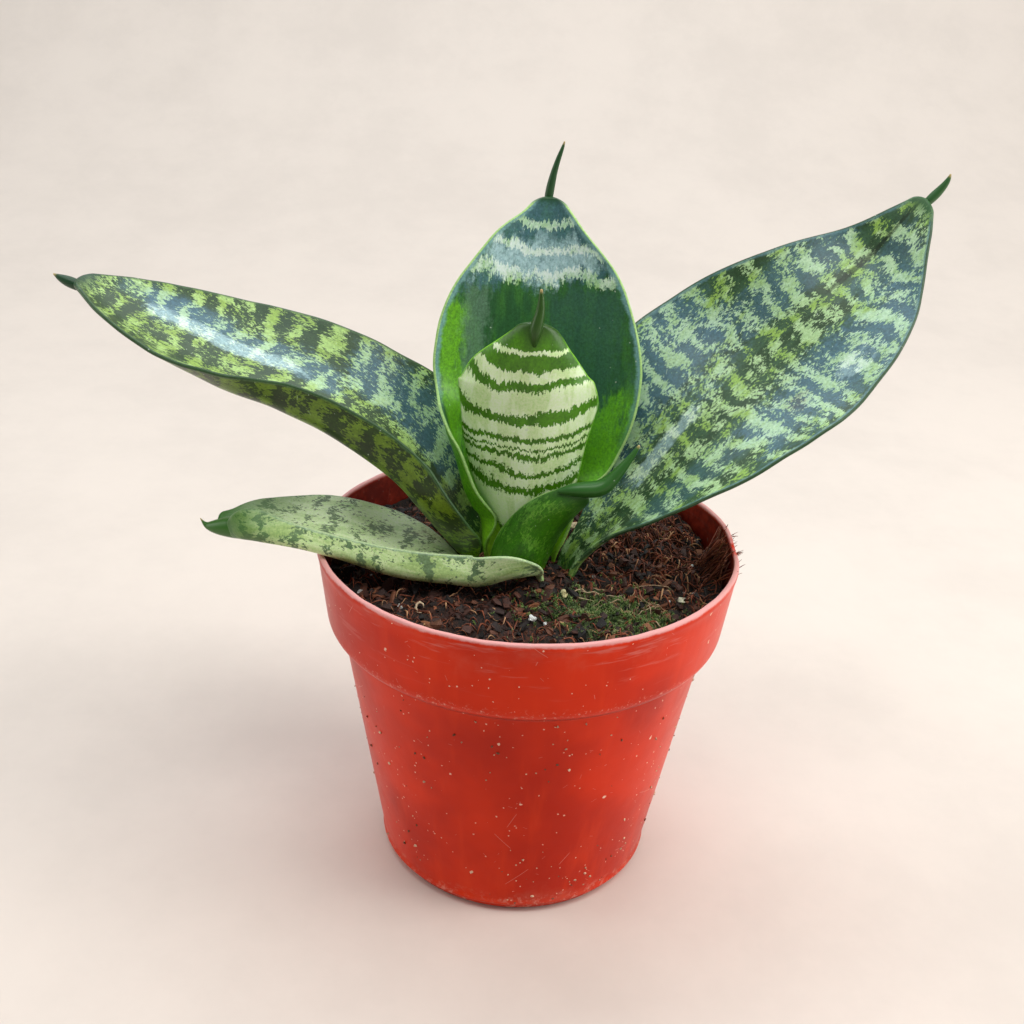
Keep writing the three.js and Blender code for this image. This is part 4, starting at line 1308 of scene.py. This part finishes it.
class PotSettings(bpy.types.PropertyGroup):
    plastic: FloatVectorProperty(name="Plastic", description="Colour of the clean plastic",
                                 subtype="COLOR", default=linear("#d62e02")[:3], min=0, max=1)
    turns: IntProperty(name="Turns", description="Facets round the pot", default=192, min=24)
    dust: FloatProperty(name="Dust", description="Dust over the whole pot", default=0.3, min=0, max=1)
    grit: IntProperty(name="Grit", description="Dried crumbs stuck to the wall", default=260)
    clusters: IntProperty(name="Clusters", description="Places where the grit gathers", default=16)
    seed: IntProperty(name="Seed", description="Picks another layout of the grit", default=5)
    gloss_floor: FloatProperty(name="Gloss", description="Roughness of the clean plastic",
                               default=0.26, min=0, max=1)


class MixSettings(bpy.types.PropertyGroup):
    soil_turns: IntProperty(name="Soil turns", description="Facets round the mix", default=180)
    soil_rings: IntProperty(name="Soil rings", description="Rings on its top", default=60)
    crumbs: IntProperty(name="Crumbs", description="Loose bits of peat", default=4200)
    chips: IntProperty(name="Chips", description="Splinters of bark", default=380)
    fibres: IntProperty(name="Fibres", description="Strands of coir", default=2800)
    grains: IntProperty(name="Grains", description="Small perlite grains", default=60)
    shoots: IntProperty(name="Moss shoots", description="Shoots in the patch of moss", default=2400)
    seed: IntProperty(name="Seed", description="Picks another layout of the loose pieces", default=7)


class LeafSettings(bpy.types.PropertyGroup):
    blade_mid: FloatProperty(name="Midrib", description="Leaf thickness at the midrib",
                             default=0.0024, unit="LENGTH")
    blade_edge: FloatProperty(name="Margin", description="Leaf thickness at the margins",
                              default=0.0010, unit="LENGTH")
    columns: IntProperty(name="Columns", description="Strips across a leaf, an even number", default=76)
    rows: IntProperty(name="Rows", description="Strips along a leaf", default=200)
    spine_sides: IntProperty(name="Spine sides", description="Facets round a spine", default=14)
    spine_rings: IntProperty(name="Spine rings", description="Rings along a spine", default=44)
    gloss_floor: FloatProperty(name="Gloss", description="Lowest roughness of the wax",
                               default=0.22, min=0, max=1)


# ---------------------------------------------------------------- operators
def layout_of(group, step):
    """A group of settings, and the random draws for one kind of loose piece."""
    settings = getattr(bpy.context.scene, group)
    return settings, random.Random(settings.seed + step)


EYE = Vector((-0.005, -0.3259, 0.26755))
EYE_TARGET = Vector((-0.005, 0.0, 0.110))
EYE_ROLL = math.radians(2.8)


# The floor and its curved back, from the side: (y, z, radius of the bend), in metres.
FLOOR_SWEEP = [(-1.6, 0, 0), (1.1, 0, 0.7), (1.1, 2.2, 0)]
FLOOR_REACH = 2.5

# Soft lights: name, place, height of the point they look at, size, share of the key light's power
# and colour.
LIGHTS = [
    ("key", (0.75, -0.15, 0.95), 0.08, (0.7, 0.7), 1.0, (1.0, 0.98, 0.95)),
    ("top", (-0.1, 0.5, 1.1), 0.12, (1.2, 0.8), 1.3, (0.86, 0.93, 1.0)),
    ("left", (-0.95, -0.02, 0.4), 0.07, (0.4, 0.9), 0.5, (1.0, 0.98, 0.96)),
    ("right", (0.95, -0.1, 0.3), 0.06, (0.4, 0.6), 0.6, (1.0, 0.98, 0.96)),
    ("front", (0.0, -0.5, 1.5), 0.12, (1.0, 0.4), 1.1, (1.0, 0.99, 0.97)),
]


def add_light(plan, key):
    """Hangs one of the LIGHTS, key being the power of the main one."""
    name, place, aim, size, share, colour = plan
    light = bpy.data.lights.new(name, "AREA")
    light.shape = "RECTANGLE"
    light.size, light.size_y = size
    light.energy = key * share
    light.color = colour
    lamp = in_scene(name, light)
    lamp.location = place
    lamp.rotation_euler = (Vector((0, 0, aim)) - Vector(place)).to_track_quat("-Z", "Y").to_euler()


class PLANT_OT_stage(bpy.types.Operator):
    """Adds the floor with its curved back, the lights and the camera"""
    bl_idname = "plant.build_stage"
    bl_label = "Stage"

    def execute(self, context):
        settings = context.scene.plant_stage
        bm = bmesh.new()
        sweep = rounded(FLOOR_SWEEP, steps=24)
        polyline(bm, [(-FLOOR_REACH, point.x, point.y) for point in sweep])
        wide = bmesh.ops.extrude_edge_only(bm, edges=bm.edges[:])["geom"]
        moved = raised_parts(wide, bmesh.types.BMVert)
        bmesh.ops.translate(bm, verts=moved, vec=(2 * FLOOR_REACH, 0, 0))
        bmesh.ops.recalc_face_normals(bm, faces=bm.faces)
        for face in bm.faces:
            face.smooth = True
            if face.normal.z < -0.01:
                face.normal_flip()
        mesh = bpy.data.meshes.new("floor")
        bm.to_mesh(mesh)
        bm.free()
        material, g, surface = new_material("floor")
        mottle = g.noise(g.point(1.0), 9.0, detail=6, roughness=0.7)
        pale = tuple(settings.floor)
        colour = g.blend(g.step(mottle, 0.35, 0.7), (*pale, 1), (*[c * 0.93 for c in pale], 1))
        g.feed(surface["Base Color"], colour)
        surface["Roughness"].default_value = 0.75
        mesh.materials.append(material)
        in_scene("floor", mesh)

        world = bpy.data.worlds.new("sky")
        world.use_nodes = True
        background = world.node_tree.nodes["Background"]
        background.inputs["Color"].default_value = (0.93, 0.96, 1.0, 1)
        background.inputs["Strength"].default_value = settings.sky
        context.scene.world = world
        for plan in LIGHTS:
            add_light(plan, settings.key)

        data = bpy.data.cameras.new("camera")
        data.lens = 45
        data.sensor_width = 36
        camera = in_scene("camera", data)
        aim = (EYE_TARGET - EYE).to_track_quat("-Z", "Y").to_matrix().to_4x4()
        camera.matrix_world = Matrix.Translation(EYE) @ aim @ Matrix.Rotation(EYE_ROLL, 4, "Z")
        context.scene.camera = camera
        context.scene.view_settings.view_transform = "Standard"
        return {"FINISHED"}


class PLANT_OT_pot(bpy.types.Operator):
    """Turns the nursery pot, with its collar, worn lip and drained floor"""
    bl_idname = "plant.build_pot"
    bl_label = "Pot"

    def execute(self, context):
        settings = context.scene.plant_pot
        finish_piece(pot_mesh(settings), "nursery_pot", pot_material(settings), ["pot"],
                     sharp=math.radians(50))
        return {"FINISHED"}


class PLANT_OT_grit(bpy.types.Operator):
    """Sticks dried crumbs of mix to the outside of the pot"""
    bl_idname = "plant.stick_grit"
    bl_label = "Grit on the pot"

    def execute(self, context):
        settings, rng = layout_of("plant_pot", 0)
        shapes = [template(lambda bm, k=k: crumb_shape(bm, 1, 2.0 * k)) for k in range(3)]
        bm = shaded_mesh()
        clusters = [(rng.uniform(0, 2 * math.pi), rng.uniform(6, 70)) for _ in range(settings.clusters)]
        for _ in range(settings.grit):
            angle, height = rng.choice(clusters)
            angle += rng.gauss(0, 0.2)
            height = min(max(height + rng.gauss(0, 9), 4), 74)
            radius = wall_radius(height) + 0.05
            size = 0.35 + 0.8 * rng.random() ** 2
            place = turned(rng, radius * math.cos(angle), radius * math.sin(angle), height, size)
            stamp(bm, rng.choice(shapes), place, rng.choice((0.75, 0.9, 1.0)))
        finish_piece(bm, "stuck_grit", crumb_material("stuck_grit", "#7a4a30", "#e6c2a0"),
                     sharp=math.radians(40))
        return {"FINISHED"}


class PLANT_OT_soil(bpy.types.Operator):
    """Fills the pot with potting mix"""
    bl_idname = "plant.build_soil"
    bl_label = "Potting mix"

    def execute(self, context):
        settings = context.scene.plant_mix
        finish_piece(soil_mesh(settings), "potting_mix_ball", soil_material(settings),
                     ["soil"], sharp=math.radians(70))
        return {"FINISHED"}


class PLANT_OT_crumbs(bpy.types.Operator):
    """Scatters crumbs of peat and splinters of bark on the mix"""
    bl_idname = "plant.scatter_crumbs"
    bl_label = "Crumbs and bark"

    def execute(self, context):
        settings, rng = layout_of("plant_mix", 0)
        shapes = [template(lambda bm, k=k: crumb_shape(bm, 1, 3.0 * k, 0.55)) for k in range(4)]
        bm = shaded_mesh()
        for _ in range(settings.crumbs):
            x, y = scatter(rng, SOIL_REACH - 0.8)
            size = 0.5 + 2.6 * rng.random() ** 5
            z = soil_surface(x, y) + 0.2 * size
            stamp(bm, rng.choice(shapes), turned(rng, x, y, z, size), rng.random())
        chip = template(chip_shape)
        for _ in range(settings.chips):
            x, y = scatter(rng, SOIL_REACH - 3)
            size = rng.uniform(1.6, 4.5)
            stamp(bm, chip, turned(rng, x, y, soil_surface(x, y) + 0.25, size), rng.uniform(0.2, 0.95))
        finish_piece(bm, "loose_crumbs", crumb_material(), sharp=math.radians(40))
        return {"FINISHED"}


TUFT_STRANDS = 90


def tuft_path(rng):
    """A strand of the tuft of coir that hangs over the lip at the right."""
    start = Vector((rng.uniform(48, 56), rng.gauss(1, 4), 98))
    start.z = soil_surface(start.x, start.y)
    end = Vector((rng.uniform(55, 61), start.y + rng.gauss(0, 4), rng.uniform(100, 103.8)))
    high = start.lerp(end, 0.6) + Vector((0, rng.gauss(0, 2), rng.uniform(0.5, 3)))
    return lambda t: start.lerp(high, t).lerp(high.lerp(end, t), t)


class PLANT_OT_fibres(bpy.types.Operator):
    """Lays strands of coir, thickest on the mound at the back right"""
    bl_idname = "plant.lay_fibres"
    bl_label = "Coir fibres"

    def execute(self, context):
        settings, rng = layout_of("plant_mix", 1)
        strand = template(rod_shape)
        bm = shaded_mesh()
        for k in range(settings.fibres):
            if k % 2:
                x, y = scatter(rng, SOIL_REACH - 3)
            else:
                x, y = rng.gauss(40, 13), rng.gauss(14, 16)
                if math.hypot(x, y) > SOIL_REACH - 1:
                    x, y = scatter(rng, SOIL_REACH - 3)
            length = rng.uniform(2, 7)
            path = lying_path(rng, x, y, length, rng.uniform(0.1, 1.7), 0.9)
            stamp(bm, strand, bend(path, rng.uniform(0.08, 0.3)), rng.random())
        for _ in range(TUFT_STRANDS):
            stamp(bm, strand, bend(tuft_path(rng), rng.uniform(0.1, 0.28)), rng.uniform(0.2, 0.9))
        finish_piece(bm, "coir_fibres", fibre_material())
        return {"FINISHED"}


# Perlite grains that stand out: (x, y, size, shade), shade near 1 being yellowish.
PERLITE = [(1.7, -34.7, 2.3, 0.1), (5.2, -34.4, 1.3, 0.1), (10.1, -22.8, 2.4, 0.95),
           (43.6, -14.5, 2.2, 0.8), (46.5, -19.0, 1.7, 0.2), (19.1, -6.6, 1.3, 0.5),
           (29.3, -25.5, 1.0, 0.2), (31.8, -26.5, 1.3, 0.3), (-43.4, -13.0, 1.2, 0.1),
           (-45.7, -19.5, 1.2, 0.2), (-33.9, -27.4, 1.4, 0.6), (-41.0, -16.5, 1.0, 0.1)]


class PLANT_OT_perlite(bpy.types.Operator):
    """Places the perlite grains"""
    bl_idname = "plant.place_perlite"
    bl_label = "Perlite"

    def execute(self, context):
        settings, rng = layout_of("plant_mix", 2)
        shapes = [template(lambda bm, k=k: crumb_shape(bm, 3, 5.0 * k, 0.3)) for k in range(3)]
        bm = shaded_mesh()
        for x, y, size, shade in PERLITE:
            z = soil_surface(x, y) + size * 0.35
            stamp(bm, rng.choice(shapes), turned(rng, x, y, z, size), shade)
        small = template(lambda bm: crumb_shape(bm, 2, 1.0, 0.3))
        for _ in range(settings.grains):
            x, y = scatter(rng, SOIL_REACH - 2)
            size = rng.uniform(0.4, 1.1)
            stamp(bm, small, turned(rng, x, y, soil_surface(x, y) + size * 0.3, size), rng.random())
        finish_piece(bm, "perlite_grains", perlite_material())
        return {"FINISHED"}


def shoot_shape(bm):
    """One moss shoot, 1 tall: narrow leaves in a spiral up a stem."""
    for k in range(7):
        angle = k * 2.4
        rise = 0.12 + 0.1 * k
        lean = Matrix.Rotation(0.9 - 0.07 * k, 4, "X")
        place = (Matrix.Rotation(angle, 4, "Z") @ Matrix.Translation((0, 0, rise)) @ lean
                 @ Matrix.Translation((0, 0, 0.2)))
        bmesh.ops.create_cone(bm, cap_ends=True, segments=3, radius1=0.09, radius2=0.0, depth=0.45,
                              matrix=place)


class PLANT_OT_moss(bpy.types.Operator):
    """Grows a low patch of moss at the front"""
    bl_idname = "plant.grow_moss"
    bl_label = "Moss"

    def execute(self, context):
        settings, rng = layout_of("plant_mix", 3)
        shoot = template(shoot_shape)
        bm = shaded_mesh()
        for _ in range(settings.shoots):
            x, y = (rng.gauss(*pair) for pair in zip(MOSS_SPOT, SHOOT_SPREAD))
            if math.hypot(x, y) > SOIL_REACH - 2:
                continue
            size = rng.uniform(1.0, 2.2)
            spin = rotation(rng.uniform(0, 6.3), "Z") @ rotation(rng.uniform(0, 1.2), "X")
            base = Vector((x, y, soil_surface(x, y) - 0.2))
            stamp(bm, shoot, lambda spot, b=base, s=size, m=spin: (m @ spot * s + b) * MM,
                  rng.random() ** 1.5)
        finish_piece(bm, "moss_patch", moss_material())
        return {"FINISHED"}


# Groups of dead roots: how many, their middle and spread in x and in y, then length, lift, how far
# they curve, thickness and shade.
ROOTS = [(34, (30, 10), (-20, 5.5), (4, 14), (0.5, 1.8), 1.2, (0.08, 0.2), (0.1, 0.8)),
         (16, (-22, 4), (24, 5), (6, 14), (1, 4), 1.5, (0.1, 0.2), (0.2, 0.8))]
HUSK_SPOT = (-28.6, -26.3)
# Pale scraps of bark and root: (x, y, size).
SCRAPS = [(14.5, 24.7, 3.6), (16.5, 20.5, 2.4), (-25.5, 24.5, 2.2), (21.0, 16.0, 1.8)]


class PLANT_OT_straw(bpy.types.Operator):
    """Lays the dead roots, the husk and the dry scraps"""
    bl_idname = "plant.lay_dry_scraps"
    bl_label = "Dry roots and scraps"

    def execute(self, context):
        settings, rng = layout_of("plant_mix", 4)
        strand = template(lambda bm: rod_shape(bm, 4))
        bm = shaded_mesh()
        for count, *middle, length, lift, curve, thickness, shade in ROOTS:
            for _ in range(count):
                x, y = (rng.gauss(*spread) for spread in middle)
                path = lying_path(rng, x, y, rng.uniform(*length), rng.uniform(*lift), curve)
                stamp(bm, strand, bend(path, rng.uniform(*thickness)), rng.uniform(*shade))
        spot = Vector((*HUSK_SPOT, soil_surface(*HUSK_SPOT) + 1.2))

        def husk(t):
            angle = 5.6 * t
            return spot + Vector((1.1 * math.cos(angle), 0.7 * math.sin(angle), 1.3 * math.sin(angle)))

        stamp(bm, strand, bend(husk, 0.4), 0.95)
        chip = template(lambda bm: crumb_shape(bm, 2, 4.0, 0.5))
        for x, y, size in SCRAPS:
            stamp(bm, chip, turned(rng, x, y, soil_surface(x, y) + size * 0.4, size), 1.0)
        finish_piece(bm, "dry_roots", straw_material())
        return {"FINISHED"}


class PLANT_OT_leaf(bpy.types.Operator):
    """Grows one leaf with its bands, veins and terminal spine"""
    bl_idname = "plant.grow_leaf"
    bl_label = "Leaf"

    leaf: StringProperty(name="Leaf", description="Which leaf to grow", default="leaf_back")

    def execute(self, context):
        if self.leaf not in LEAVES:
            raise ValueError(f"there is no leaf named {self.leaf}")
        settings = context.scene.plant_leaf
        finish_piece(leaf_mesh(self.leaf, settings), self.leaf + "_blade",
                     leaf_material(self.leaf, settings), [self.leaf])
        return {"FINISHED"}


class PLANT_OT_rhizome(bpy.types.Operator):
    """Gives the buried stem its fibrous skin"""
    bl_idname = "plant.finish_rhizome"
    bl_label = "Rhizome"

    def execute(self, context):
        material, g, surface = new_material("rhizome_skin")
        point = g.point()
        x, y, z = g.split(point)
        grain = g.noise(g.place(x, y, z * 0.2), 1.2, detail=4)
        rings = g.noise(g.place(x * 0.15, y * 0.15, z), 0.4, detail=3)
        colour = g.blend(g.step(grain, 0.35, 0.65), "#c79a5c", "#8a5a2c")
        colour = g.blend(g.step(rings, 0.55, 0.65) * 0.6, colour, "#5f3a1e")
        dress(g, surface, colour, grain * 0.3 + 0.5, grain + rings, 0.6, 0.0005)
        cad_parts["rhizome"].material_slots[0].material = material
        return {"FINISHED"}


class PLANT_PT_panel(bpy.types.Panel):
    """Lists the steps that build the plant"""
    bl_idname = "PLANT_PT_panel"
    bl_label = "Potted snake plant"
    bl_space_type = "VIEW_3D"
    bl_region_type = "UI"
    bl_category = "Plant"

    def draw(self, context):
        layout = self.layout
        scene = context.scene
        for settings in (scene.plant_stage, scene.plant_pot, scene.plant_mix, scene.plant_leaf):
            box = layout.box()
            for name in settings.__annotations__:
                box.prop(settings, name)
        for operator in OPERATORS:
            layout.operator(operator.bl_idname)


SETTINGS = {
    "plant_stage": StageSettings,
    "plant_pot": PotSettings,
    "plant_mix": MixSettings,
    "plant_leaf": LeafSettings,
}
OPERATORS = [PLANT_OT_stage, PLANT_OT_pot, PLANT_OT_grit, PLANT_OT_soil, PLANT_OT_crumbs,
             PLANT_OT_fibres, PLANT_OT_perlite, PLANT_OT_moss, PLANT_OT_straw, PLANT_OT_leaf,
             PLANT_OT_rhizome]


def register():
    for name, group in SETTINGS.items():
        bpy.utils.register_class(group)
        setattr(bpy.types.Scene, name, PointerProperty(type=group))
    for operator in OPERATORS:
        bpy.utils.register_class(operator)
    bpy.utils.register_class(PLANT_PT_panel)


def unregister():
    bpy.utils.unregister_class(PLANT_PT_panel)
    for operator in reversed(OPERATORS):
        bpy.utils.unregister_class(operator)
    for name, group in SETTINGS.items():
        delattr(bpy.types.Scene, name)
        bpy.utils.unregister_class(group)


def main():
    register()
    bpy.ops.plant.build_stage()
    bpy.ops.plant.build_pot()
    bpy.ops.plant.stick_grit()
    bpy.ops.plant.build_soil()
    bpy.ops.plant.scatter_crumbs()
    bpy.ops.plant.lay_fibres()
    bpy.ops.plant.place_perlite()
    bpy.ops.plant.grow_moss()
    bpy.ops.plant.lay_dry_scraps()
    for name in LEAVES:
        bpy.ops.plant.grow_leaf(leaf=name)
    bpy.ops.plant.finish_rhizome()
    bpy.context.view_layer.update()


if __name__ == "__main__":
    main()
